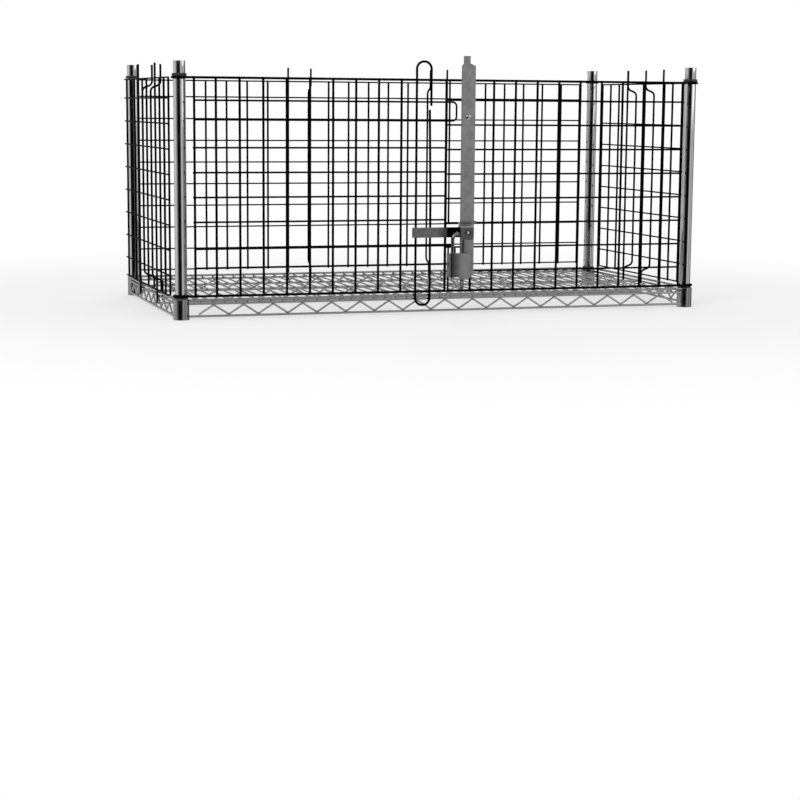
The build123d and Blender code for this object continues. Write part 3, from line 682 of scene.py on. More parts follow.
def padlock_case():
    """Steel case, brushed upright and lightly sealed: a soft sheen with fine upright lines, cloudy,
    and painted shade across one side of its front."""
    made = clouded_finish("brushed_steel_padlock_case", colours().padlock_case, tint=(0.72, 1.14),
                          rough=(0.30, 0.42), grain=0.5 * MM, depth=0.04 * MM, stretch=(1, 1, 26),
                          patch=14 * MM)
    # Painted shade darkens one side of the case's front
    tree, turn = made.node_tree, np.radians(PADLOCK_TURN)
    turned_place = add(tree, "ShaderNodeMapping",
                       {"Location": middle("padlock_body"), "Rotation": (0, 0, turn)},
                       {"Vector": object_place(made)}, vector_type="TEXTURE").outputs["Vector"]
    across = rise(tree, turned_place, X, PAINTED_SHADE_ACROSS, PAINTED_SHADE_DEPTH, 0.0)
    front = rise(tree, turned_place, Y, PADLOCK_FRONT, 0.0, 1.0)
    painted_shade = add(tree, "ShaderNodeMath", links={0: across, 1: front}, operation="MULTIPLY")
    painted_shade_factor = add(tree, "ShaderNodeMath", {0: 1.0}, {1: painted_shade.outputs["Value"]}, operation="SUBTRACT")
    return scaled_colour(made, painted_shade_factor.outputs["Value"])


def plug_brass():
    """Turned brass: a warm satin face with turning lines."""
    return clouded_finish("turned_brass", colours().brass, tint=(0.86, 1.06), rough=(0.24, 0.36),
                          grain=0.7 * MM, depth=0.03 * MM)


def sleeve_plastic():
    """Injection moulded polypropylene: black, half matt, with a fine moulded grain and scuffs."""
    made = clouded_finish("moulded_black_polypropylene", colours().sleeve_plastic, tint=(0.8, 1.7),
                          rough=(0.38, 0.58), grain=0.7 * MM, depth=0.05 * MM, patch=9 * MM,
                          detail=(3.0, 2.0), metallic=0.0)
    made.node_tree.nodes["Principled BSDF"].inputs["IOR"].default_value = POLYPROPYLENE_IOR
    return made


def post_centres():
    """The middle of each post's footprint."""
    names = ("front_left", "front_right", "rear_left", "rear_right")
    return {name: middle(f"post_{name}") for name in names}


def frame_heights():
    """Heights of the lower and upper frame wires of the meshes."""
    low, high = corners("left_door_hinge_wires")
    corner = sizes().frame_wire / 2 * FLATS_OVER_CORNERS
    return low[Z] + corner, high[Z] - corner


def inner_rows(node, count):
    """Heights of evenly spaced cross wires, from the box of their CAD node."""
    low, high = corners(node)
    corner = sizes().cross_wire / 2 * FLATS_OVER_CORNERS
    return np.linspace(low[Z] + corner, high[Z] - corner, count)


class CageOperator(bpy.types.Operator):
    """Base of the cage's own operators."""
    bl_options = {"REGISTER", "UNDO"}


class CAGE_OT_posts(CageOperator):
    """Four chrome tube posts, open at both ends, each with a groove near its top."""
    bl_idname = "cage.build_posts"
    bl_label = "Posts"

    def execute(self, context):
        material = chrome_tube()
        for name, centre in post_centres().items():
            low, high = corners(f"post_{name}")
            radius = (high[X] - low[X]) / 2
            bore, floor = radius - POST_WALL, radius - POST_GROOVE_DEEP
            top = high[Z]
            groove = top - POST_STUB
            foot = groove - POST_GROOVE_TALL
            outline = [(radius, 0), (radius, foot), (floor, foot), (floor, groove), (radius, groove),
                       (radius, top), (bore, top), (bore, 0)]
            profile = softened(outline, POST_EDGE)
            shell = turned(profile, (centre[X], centre[Y], 0), ring=True)
            piece(f"post_{name}", "tube", [shell], material)
        return {"FINISHED"}


class CAGE_OT_collars(CageOperator):
    """Collars at the posts' feet, the split sleeves that wedge in them, and the rims near the tops."""
    bl_idname = "cage.build_collars"
    bl_label = "Collars and sleeves"

    def execute(self, context):
        centres = post_centres()
        post_r = (np.subtract(*corners("post_front_left")[::-1]) / 2)[X]
        edge_x = corners("corner_collars")[0][X]
        collar_r = centres["front_left"][X] - edge_x
        collar_top = corners("corner_collars")[1][Z]
        inner = post_r + SLEEVE_WALL
        outline = [(collar_r, 0), (collar_r, collar_top), (inner - COLLAR_TAPER, collar_top), (inner, 0)]
        profile = softened(outline, COLLAR_EDGE)
        collars = [turned(profile, (c[X], c[Y], 0), ring=True) for c in centres.values()]
        piece("corner_collars", "stamped", collars, chrome_collar())
        plastic = sleeve_plastic()
        rim_top = corners("lower_split_sleeves")[1][Z]
        bore = post_r + SLEEVE_FIT
        rim_r = corners("upper_sleeve_rims")[1][X] - centres["front_right"][X]
        sleeve = [(inner - SLEEVE_FIT, 0), (inner - SLEEVE_TAPER, rim_top), (bore, rim_top), (bore, 0)]
        sleeves = [half for c in centres.values() for half in split_sleeve(sleeve, c)]
        piece("lower_split_sleeves", "moulded", sleeves, plastic)
        low, high = corners("upper_sleeve_rims")
        outline = [(rim_r, low[Z]), (rim_r, high[Z]), (bore, high[Z]), (bore, low[Z])]
        rim = softened(outline, RIM_EDGE)
        rims = [turned(rim, (c[X], c[Y], 0), ring=True) for c in centres.values()]
        piece("upper_sleeve_rims", "moulded", rims, plastic)
        return {"FINISHED"}


def split_sleeve(outline, centre):
    """Two half sleeves: a rounded profile turned through half a circle less the slit."""
    profile = softened(outline, SLEEVE_EDGE)
    gap = np.arcsin(SLEEVE_SLIT / 2 / profile[:, 0].mean())
    halves = []
    for start in (0.0, np.pi):
        angle = np.linspace(start + gap, start + np.pi - gap, TURNED_SIDES // 2)[:, None]
        r, h = profile[:, 0], profile[:, 1]
        points = np.stack([r * np.cos(angle), r * np.sin(angle), h + 0 * angle], axis=-1)
        points = points.reshape(-1, 3) + np.array([centre[X], centre[Y], 0])
        count = len(profile)
        last = (len(angle) - 1) * count
        faces = [*skin((len(angle), count), closed=False), tuple(range(count)),
                 tuple(range(last, last + count))[::-1]]
        halves.append((points, faces))
    return halves


def zigzag(node, axis, low, high, chord_r):
    """A bent wire between two chords, on a path of equal slants with a round bend at each chord.

    The crest of a bend stands bend * (1 / cos(t / 2) - 1) inside its corner, where t is the turn, so
    the corners stand that much beyond the crests.
    """
    radius = sizes().zigzag_wire / 2
    box_low, box_high = corners(node)
    start, end = box_low[axis] + radius, box_high[axis] - radius
    steps = 2 * int((end - start) / ZIGZAG_PITCH + 0.5)
    touch = chord_r + radius - ZIGZAG_SUNK
    crest_low, crest_high = low + touch, high - touch
    slope = np.arctan2(crest_high - crest_low, (end - start) / steps)
    beyond = ZIGZAG_BEND * (1 / np.cos(slope) - 1)
    height = np.where(np.arange(steps + 1) % 2 == 0, crest_low - beyond, crest_high + beyond)
    height[[0, -1]] = crest_low
    points = np.zeros((steps + 1, 3)) + middle(node)
    points[:, axis] = np.linspace(start, end, steps + 1)
    points[:, Z] = height
    facing = BACK if axis == X else RIGHT
    path = rounded(points, ZIGZAG_BEND, step=12)
    return wires([path], facing, radius, ZIGZAG_SIDES), points


class CAGE_OT_shelf(CageOperator):
    """The wire shelf that is the cage's floor: deck wires, runners, chords, rails and zigzags."""
    bl_idname = "cage.build_shelf"
    bl_label = "Shelf floor"

    def execute(self, context):
        material = chrome_wire()
        frame_r, deck_r = sizes().frame_wire / 2, sizes().deck_wire / 2
        low, high = corners("deck_wires")
        count = int(round((high[X] - low[X] - 2 * deck_r) / DECK_PITCH)) + 1
        xs = (np.arange(count) - (count - 1) / 2) * DECK_PITCH
        deck_z = (low[Z] + high[Z]) / 2
        decks = along(Y, low[Y], high[Y], [(x, 0, deck_z) for x in xs], UP, deck_r)
        piece("deck_wires", "round", decks, material)
        seat_z = low[Z]
        spread = (WELD_SPREAD * deck_r, WELD_SPREAD * frame_r, WELD_RISE)
        r_low, r_high = corners("deck_runner_wires")
        over = frame_r * FLATS_OVER_CORNERS
        ys = (r_low[Y] + over, r_high[Y] - over)
        runner_z = (r_low[Z] + r_high[Z]) / 2
        shells = along(X, r_low[X], r_high[X], [(0, y, runner_z) for y in ys], UP, frame_r)
        shells += welds(crossings(X, xs, Y, ys, Z, seat_z), spread)
        piece("deck_runner_wires", "round", shells, material)
        for side, axis in (("centre", X), ("front", X), ("rear", X), ("left", Y), ("right", Y)):
            self.truss(side, axis, xs, seat_z, spread, material)
        return {"FINISHED"}

    def truss(self, side, axis, xs, seat_z, spread, material):
        """The chords and the zigzag of one truss, welded to the deck wires that cross it."""
        chords, bent = f"{side}_truss_chords", f"{side}_truss_zigzag"
        frame_r = sizes().frame_wire / 2
        low, high = corners(chords)
        centre = (low + high) / 2
        top_chord = seat_z - frame_r
        heights = [low[Z] + frame_r, top_chord]
        if side != "centre":
            heights.append(high[Z] - frame_r)
        spots = [(centre[X], centre[Y], z) for z in heights]
        shells = along(axis, low[axis], high[axis], spots, UP, frame_r)
        if axis == X:
            reached = xs[(xs > low[X]) & (xs < high[X])]
            shells += welds(crossings(X, reached, Y, [centre[Y]], Z, seat_z), spread)
        piece(chords, "round", shells, material)
        shells, points = zigzag(bent, axis, heights[0], heights[1], frame_r)
        bead = np.array([WELD_RISE, WELD_RISE, ZIGZAG_BEAD_TALL])
        bead[axis] = ZIGZAG_BEAD_LONG
        touches = points[1:-1].copy()
        lower, upper = heights[0] + frame_r, heights[1] - frame_r
        touches[:, Z] = np.where(np.arange(len(touches)) % 2, lower, upper)
        shells += welds(touches, bead)
        piece(bent, "round", shells, material)


class CAGE_OT_panels(CageOperator):
    """The back panel and the two side panels, with their prongs and spring hooks."""
    bl_idname = "cage.build_panels"
    bl_label = "Back and side panels"

    def execute(self, context):
        material = dark_panel_wire()
        self.panel("back", X, Y, material, outward=1, prong_at=4, hook_at=3)
        self.panel("left", Y, X, material, outward=-1, prong_at=2, hook_at=1)
        self.panel("right", Y, X, material, outward=1, prong_at=2, hook_at=1)
        return {"FINISHED"}

    def panel(self, side, run, depth, material, outward, prong_at, hook_at):
        """One panel: run is the axis along it and depth the axis through it.

        Its prongs and hooks stand in pairs, so many pitches to each side of its middle.
        """
        upright_r, cross_r = sizes().panel_upright / 2, sizes().panel_cross / 2
        facing = np.zeros(3)
        facing[depth] = outward
        low, high = corners(f"{side}_panel_uprights")
        centre = (low + high) / 2
        half = int(round((high[run] - low[run]) / 2 / UPRIGHT_PITCH))
        pitches = np.arange(-half, half + 1)
        spots = centre[run] + pitches * UPRIGHT_PITCH
        plain = ~np.isin(abs(pitches), (prong_at, hook_at))
        at = np.tile(centre, (len(spots), 1))
        at[:, run] = spots
        rows, bottom = self.rows(side, low[Z])
        shells = along(Z, bottom, high[Z], at[plain], facing, upright_r)
        contact = centre[depth] + outward * upright_r
        bead = np.zeros(3)
        bead[run], bead[depth], bead[Z] = WELD_SPREAD * upright_r, WELD_RISE, WELD_SPREAD * cross_r
        beads = welds(crossings(run, spots[plain], Z, rows, depth, contact), bead)
        self.make(side, "uprights", shells + beads, material)
        prong_low, prong_high = corners(f"{side}_panel_prongs")
        prongs = abs(pitches) == prong_at
        shells = along(Z, prong_low[Z], prong_high[Z], at[prongs], facing, upright_r)
        shells += welds(crossings(run, spots[prongs], Z, rows, depth, contact), bead)
        self.make(side, "prongs", shells, material)
        hooks, touching = self.hooks(side, at[abs(pitches) == hook_at], depth, outward, facing, rows)
        shells = hooks + welds(crossings(run, spots[abs(pitches) == hook_at], Z, touching, depth, contact),
                               bead)
        self.make(side, "hooks", shells, material)
        low, high = corners(f"{side}_panel_cross_wires")
        across = (low + high) / 2
        crosses = [(across[X], across[Y], z) for z in rows]
        self.make(side, "cross_wires", along(run, low[run], high[run], crosses, facing, cross_r),
                  material)

    def rows(self, side, bottom):
        """Heights of a panel's cross wires, and of the lower ends of its plain uprights."""
        z_low, z_high = frame_heights()
        if side != "back":
            return np.array([z_low, *inner_rows("right_door_cross_wires", MESH_ROWS), z_high]), bottom
        lowest, first = (z_low + up for up in BACK_ROWS_UP)
        inner = first + BACK_ROW_PITCH * np.arange(MESH_ROWS)
        return np.array([lowest, *inner, z_high]), lowest - UPRIGHT_PAST_ROW

    def hooks(self, side, at, depth, outward, facing, rows):
        """Uprights whose ends step inwards, by a slant between a straight middle and a straight end,
        and the rows that touch them."""
        low, high = corners(f"{side}_panel_hooks")
        points = np.tile(at[0], (6, 1))
        steps = (low[Z], low[Z] + HOOK_STRAIGHT, low[Z] + HOOK_STRAIGHT + HOOK_JOG_TALL)
        points[:, Z] = [*steps, *(high[Z] + low[Z] - z for z in steps[::-1])]
        points[[0, 1, 4, 5], depth] -= outward * HOOK_JOG
        path = rounded(points, HOOK_BEND)
        paths = [path + (spot - at[0]) for spot in at]
        square = np.cross(facing, (0, 0, 1))
        shells = wires(paths, square, sizes().panel_upright / 2)
        return shells, rows[(rows > steps[2]) & (rows < points[3, Z])]

    def make(self, side, kind, shells, material):
        """One kind of wire of one panel as a piece."""
        piece(f"{side}_panel_{kind}", "round", shells, material)


def door_spots(side):
    """Places across a door of its evenly spaced uprights and of its outer one."""
    low, high = corners(f"{side}_door_uprights")
    corner = sizes().frame_wire / 2 * FLATS_OVER_CORNERS
    if side == "left":
        inner, outer = high[X] - corner, low[X] + corner
    else:
        inner = low[X] + sizes().cross_wire / 2 * FLATS_OVER_CORNERS
        outer = high[X] - corner
    count = int(abs(outer - inner) / UPRIGHT_PITCH)
    even = inner + np.sign(outer - inner) * UPRIGHT_PITCH * np.arange(count + 1)
    return even, outer


def door_depths(side):
    """Y of the middle of the uprights and of the faces where the wires behind them touch."""
    centre = middle(f"{side}_door_uprights")[Y]
    return centre, centre + sizes().frame_wire / 2


def curl_path(side, z):
    """A frame wire of a door: straight to its post, then round it on an arc about its axis."""
    sign = -1.0 if side == "left" else 1.0
    post = post_centres()[f"front_{side}"]
    low, high = corners(f"{side}_door_hinge_wires")
    y = low[Y] + sizes().frame_wire / 2
    ring_r = post[Y] - y
    start = high[X] if side == "left" else low[X]
    turn = np.radians(np.linspace(0, RING_TURN, RING_POINTS))[:, None]
    arc = np.concatenate([post[X] + sign * ring_r * np.sin(turn), post[Y] - ring_r * np.cos(turn),
                          z + 0 * turn], axis=1)
    return np.concatenate([[[start, y, z]], arc])


class CAGE_OT_doors(CageOperator):
    """The two mesh doors, with curled hinge wires, keeper loops and the tall stop loop."""
    bl_idname = "cage.build_doors"
    bl_label = "Doors"

    def execute(self, context):
        material = dark_door_wire()
        rows = {"left": inner_rows("left_door_cross_wires", LEFT_DOOR_ROWS),
                "right": inner_rows("right_door_cross_wires", MESH_ROWS)}
        for side in ("left", "right"):
            self.crosses(side, rows[side], material)
            self.hinges(side, material)
        self.left_uprights(rows["left"], material)
        self.right_uprights(rows["right"], material)
        self.keepers(material)
        self.long_loop(rows["left"], material)
        return {"FINISHED"}

    def make(self, side, kind, shells, material):
        """One kind of wire of one door as a piece."""
        piece(f"{side}_door_{kind}", "round", shells, material, f"{side}_door")

    def crosses(self, side, rows, material):
        """Straight level wires behind the uprights, one at each row."""
        low, high = corners(f"{side}_door_cross_wires")
        y = (low[Y] + high[Y]) / 2
        self.make(side, "cross_wires", along(X, low[X], high[X], [(0, y, z) for z in rows], BACK,
                                             sizes().cross_wire / 2), material)

    def hinges(self, side, material):
        """The lower and upper frame wires, each straight and then curled round the post."""
        paths = [curl_path(side, z) for z in frame_heights()]
        self.make(side, "hinge_wires", wires(paths, UP, sizes().frame_wire / 2), material)

    def beads(self, xs, rows, y, upright_r, row_r):
        """Welds where uprights at xs cross wires at rows, at one depth."""
        half = (WELD_SPREAD * upright_r, WELD_RISE, WELD_SPREAD * row_r)
        return welds(crossings(X, xs, Z, rows, Y, y), half)

    def left_uprights(self, rows, material):
        """Even uprights but for the second, whose place the long loop takes, and the outer one."""
        even, outer = door_spots("left")
        xs = np.array([*np.delete(even, 1), outer])
        y, contact = door_depths("left")
        low, high = corners("left_door_uprights")
        frame_r, cross_r = sizes().frame_wire / 2, sizes().cross_wire / 2
        shells = along(Z, low[Z], high[Z], [(x, y, 0) for x in xs], BACK, frame_r)
        shells += self.beads(xs, rows, contact, frame_r, cross_r)
        shells += self.beads(xs, frame_heights(), contact, frame_r, frame_r)
        self.make("left", "uprights", shells, material)

    def right_uprights(self, rows, material):
        """Even uprights, and a thin inner one that is cut away behind the latch arm."""
        even, outer = door_spots("right")
        xs = np.array([*even[1:], outer])
        y, contact = door_depths("right")
        low, high = corners("right_door_uprights")
        frame_r, cross_r = sizes().frame_wire / 2, sizes().cross_wire / 2
        z_low, z_high = frame_heights()
        shells = along(Z, low[Z], high[Z], [(x, y, 0) for x in xs], BACK, frame_r)
        thin_y = contact - cross_r
        below, above = rows[CUT_ROW] + frame_r, rows[CUT_ROW + 1] - frame_r
        for start, end in ((z_low - frame_r, below), (above, z_high + frame_r)):
            shells += along(Z, start, end, [(even[0], thin_y, 0)], BACK, cross_r)
        shells += self.beads(xs, rows, contact, frame_r, cross_r)
        shells += self.beads(xs, (z_low, z_high), contact, frame_r, frame_r)
        shells += self.beads(even[:1], rows, contact, cross_r, cross_r)
        self.make("right", "uprights", shells, material)

    def keepers(self, material):
        """Two wires bent to a long U each, whose round ends reach in front of the right door."""
        low, high = corners("left_door_keeper_loops")
        radius = sizes().cross_wire / 2
        over = radius * FLATS_OVER_CORNERS
        y = (low[Y] + high[Y]) / 2
        end = high[X] - over
        middles = (low[Z] + over + KEEPER_TALL / 2, high[Z] - over - KEEPER_TALL / 2)
        paths = []
        for z in middles:
            points = [(low[X], y, z - KEEPER_TALL / 2), (end, y, z - KEEPER_TALL / 2),
                      (end, y, z + KEEPER_TALL / 2), (low[X], y, z + KEEPER_TALL / 2)]
            paths.append(rounded(points, KEEPER_BEND))
        shells = wires(paths, BACK, radius)
        even, outer = door_spots("left")
        xs = np.array([*np.delete(even, 1), outer])
        rows = [z + s * KEEPER_TALL / 2 for z in middles for s in (-1, 1)]
        contact = door_depths("left")[0] - sizes().frame_wire / 2
        shells += self.beads(xs, rows, contact, sizes().frame_wire / 2, radius)
        self.make("left", "keeper_loops", shells, material)

    def long_loop(self, rows, material):
        """One tall loop, open at a joint where its lower end stands a little to the left."""
        low, high = corners("left_door_long_loop")
        radius = sizes().frame_wire / 2
        over = radius * FLATS_OVER_CORNERS
        y = (low[Y] + high[Y]) / 2
        left, right = low[X] + over, high[X] - over
        bottom, top = low[Z] + over, high[Z] - over
        joint_low, joint_high = top - LOOP_JOINT_DOWN[0], top - LOOP_JOINT_DOWN[1]
        points = [(right, joint_high), (right, top), (left, top), (left, bottom), (right, bottom),
                  (right, joint_low - LOOP_SLANT_TALL), (right - LOOP_JOINT_SHIFT, joint_low)]
        path = rounded([(x, y, z) for x, z in points], (right - left) / 2 - LOOP_FLAT, step=7)
        shells = wires([path], BACK, radius)
        contact = y + radius
        shells += self.beads([left], rows, contact, radius, sizes().cross_wire / 2)
        shells += self.beads([left, right], frame_heights(), contact, radius, radius)
        self.make("left", "long_loop", shells, material)


class CAGE_OT_lock_bar(CageOperator):
    """The lock bar and the bolt, plate and nut that clamp it to the mesh."""
    bl_idname = "cage.build_lock_bar"
    bl_label = "Lock bar"

    def execute(self, context):
        bright = bright_fastener()
        self.bar()
        soft_copy("lock_bar_clamp_plate", "right_door", bright, PLATE_EDGE)
        low, high = corners("lock_bar_bolt")
        centre = ((low[X] + high[X]) / 2, 0, (low[Z] + high[Z]) / 2)
        head_r = (high[X] - low[X]) / 2
        face = -corners("lock_bar")[0][Y]
        tip = -high[Y]
        head = domed(head_r, face, BOLT_HEAD_TALL)
        shank = [(BOLT_TIP_R, tip), (BOLT_R, tip + BOLT_TIP_TALL), (BOLT_R, face)]
        bolt = turned([*shank, *head], centre, Y, FASTENER_SIDES)
        piece("lock_bar_bolt", "headed", [bolt], bright, "right_door")
        low, high = corners("lock_bar_nut")
        size = high - low
        over = max(size[X], size[Z]) / 2
        nut = hex_nut(over, -high[Y], -low[Y], centre, corner_up=size[X] < size[Z])
        piece("lock_bar_nut", "hexagon", [nut], bright, "right_door",
              SHARP_NUT_EDGE)
        return {"FINISHED"}

    def bar(self):
        """A flat bar: tongue between two sloping shoulders, one round lower corner, slotted foot."""
        low, high = corners("lock_bar")
        foot_top = low[Z] + FOOT_TALL
        shoulder = high[Z] - TONGUE_TALL
        tongue = low[X] + TONGUE_IN, low[X] + TONGUE_IN + TONGUE_WIDE
        foot = low[X] + FOOT_IN, low[X] + FOOT_IN + FOOT_WIDE
        outline = [(low[X], foot_top), (foot[0], foot_top), (foot[0], low[Z]), (foot[1], low[Z]),
                   (foot[1], foot_top), (high[X], foot_top), (high[X], shoulder - SHOULDER_TALL),
                   (tongue[1], shoulder), (tongue[1], high[Z]), (tongue[0], high[Z]),
                   (tongue[0], shoulder), (low[X], shoulder - SHOULDER_TALL)]
        bends = np.full(len(outline), BAR_BEND)
        bends[outline.index((high[X], foot_top))] = BAR_CORNER
        path = softened(outline, bends, step=10)
        pivot, bolt = middle("pivot_rivet"), middle("lock_bar_bolt")
        slot = round_hole((sum(foot) / 2, low[Z] + FOOT_SLOT_UP), FOOT_SLOT_R, FOOT_SLOT_TALL)
        holes = [slot, round_hole(pivot[[X, Z]], RIVET_R), round_hole(bolt[[X, Z]], BOLT_R)]
        thick = high[Y] - low[Y]
        plate = flat_plate(path, holes, thick, Y, (low[Y] + high[Y]) / 2)
        piece("lock_bar", "rolled", [plate], rolled_bar(), "right_door")


def domed(radius, face, tall):
    """Profile of a low domed head: a short upright edge, then h = edge + rise * cos(a) over the
    radius times sin(a)."""
    edge = HEAD_EDGE_SHARE * tall
    a = np.radians(np.linspace(90, DOME_MIDDLE, DOME_POINTS))
    dome = np.stack([radius * np.sin(a), face + edge + (tall - edge) * np.cos(a)], axis=1)
    return [(radius, face), *dome.tolist()]


def dished(radius, face, tall):
    """Profile of a riveted head: a rim, a hollow ring inside it, and a small dome in the middle."""
    share = np.array([1.0, 1.0, 0.93, 0.84, 0.72, 0.60, 0.50, 0.46, 0.40, 0.30, 0.18, 0.05])
    height = np.array([0.0, 0.42, 0.58, 0.56, 0.36, 0.26, 0.30, 0.55, 0.78, 0.92, 0.98, 1.0])
    return np.stack([radius * share, face + tall * height], axis=1).tolist()


def hex_nut(over, back, front, centre, corner_up):
    """A six-sided block with bored middle and bevelled corners, turned on six sides."""
    profile = [(BOLT_R, back), (over - NUT_BEVEL, back), (over, back + NUT_BEVEL),
               (over, front - NUT_BEVEL), (over - NUT_BEVEL, front), (BOLT_R, front)]
    return turned(profile, centre, Y, 6, ring=True, corners_at=np.pi / 2 if corner_up else 0.0)


def flat_plate(outline, holes, thick, axis, at):
    """A flat piece square to an axis, with its middle at one place on that axis.

    It is a filled curve of an outline of pairs, (y, z) or (x, z), with round holes or slots cut in
    it, given its thickness and a small round on its edges, and then made a mesh.
    """
    curve = bpy.data.curves.new("flat_plate", "CURVE")
    curve.dimensions = "2D"
    curve.fill_mode = "BOTH"
    curve.extrude = thick / 2 - PLATE_EDGE
    curve.bevel_depth = PLATE_EDGE
    curve.bevel_resolution = 2
    curve.offset = -PLATE_EDGE
    for loop in (outline, *holes):
        spline = curve.splines.new("POLY")
        spline.points.add(len(loop) - 1)
        spline.points.foreach_set("co", np.c_[loop, np.zeros(len(loop)), np.ones(len(loop))].ravel())
        spline.use_cyclic_u = True
    holder = bpy.data.objects.new("flat_plate", curve)
    bpy.context.scene.collection.objects.link(holder)
    shape = bpy.data.meshes.new_from_object(holder.evaluated_get(bpy.context.evaluated_depsgraph_get()))
    bpy.data.objects.remove(holder)
    if axis == X:
        shape.transform(Matrix(((0, 0, 1, at), (1, 0, 0, 0), (0, 1, 0, 0), (0, 0, 0, 1))))
    else:
        shape.transform(Matrix(((1, 0, 0, 0), (0, 0, -1, at), (0, 1, 0, 0), (0, 0, 0, 1))))
    points = np.empty(len(shape.vertices) * 3)
    shape.vertices.foreach_get("co", points)
    faces = [tuple(face.vertices) for face in shape.polygons]
    return points.reshape(-1, 3), faces


def round_hole(centre, radius, tall=0.0):
    """A circle round a centre, or with a height a slot: the circle's halves moved apart."""
    angle = np.linspace(2 * np.pi, 0, HOLE_POINTS, endpoint=False)
    v = radius * np.sin(angle) + np.sign(np.round(np.sin(angle), 6)) * tall / 2
    return np.stack([centre[0] + radius * np.cos(angle), centre[1] + v], axis=1)


def folded_sheet(path, half_widths, centre_x):
    """A bent sheet: its middle surface is centre_x + v * half width across a path in the YZ plane,
    and the sheet stands half its thickness to each side of it, along the path's normals."""
    path = np.asarray(path, float)
    run = np.gradient(path, axis=0)
    run /= np.linalg.norm(run, axis=1, keepdims=True)
    normal = np.stack([-run[:, 1], run[:, 0]], axis=1)
    width = np.asarray(half_widths, float)
    edge = PLATE_EDGE
    rim = [(1.0, SHEET / 2 - edge, 0.0), (1.0, SHEET / 2, edge), (-1.0, SHEET / 2, edge),
           (-1.0, SHEET / 2 - edge, 0.0), (-1.0, edge - SHEET / 2, 0.0), (-1.0, -SHEET / 2, edge),
           (1.0, -SHEET / 2, edge), (1.0, edge - SHEET / 2, 0.0)]
    side, lift, inset = (np.array(part)[None, :] for part in zip(*rim))
    x = centre_x + side * (width[:, None] - inset)
    y = path[:, :1] + lift * normal[:, :1]
    z = path[:, 1:] + lift * normal[:, 1:]
    points = np.stack([x, y, z], axis=-1).reshape(-1, 3)
    sides = len(rim)
    last = (len(path) - 1) * sides
    faces = [*skin((len(path), sides), closed=False), tuple(range(sides)),
             tuple(range(last, last + sides))[::-1]]
    return points, faces


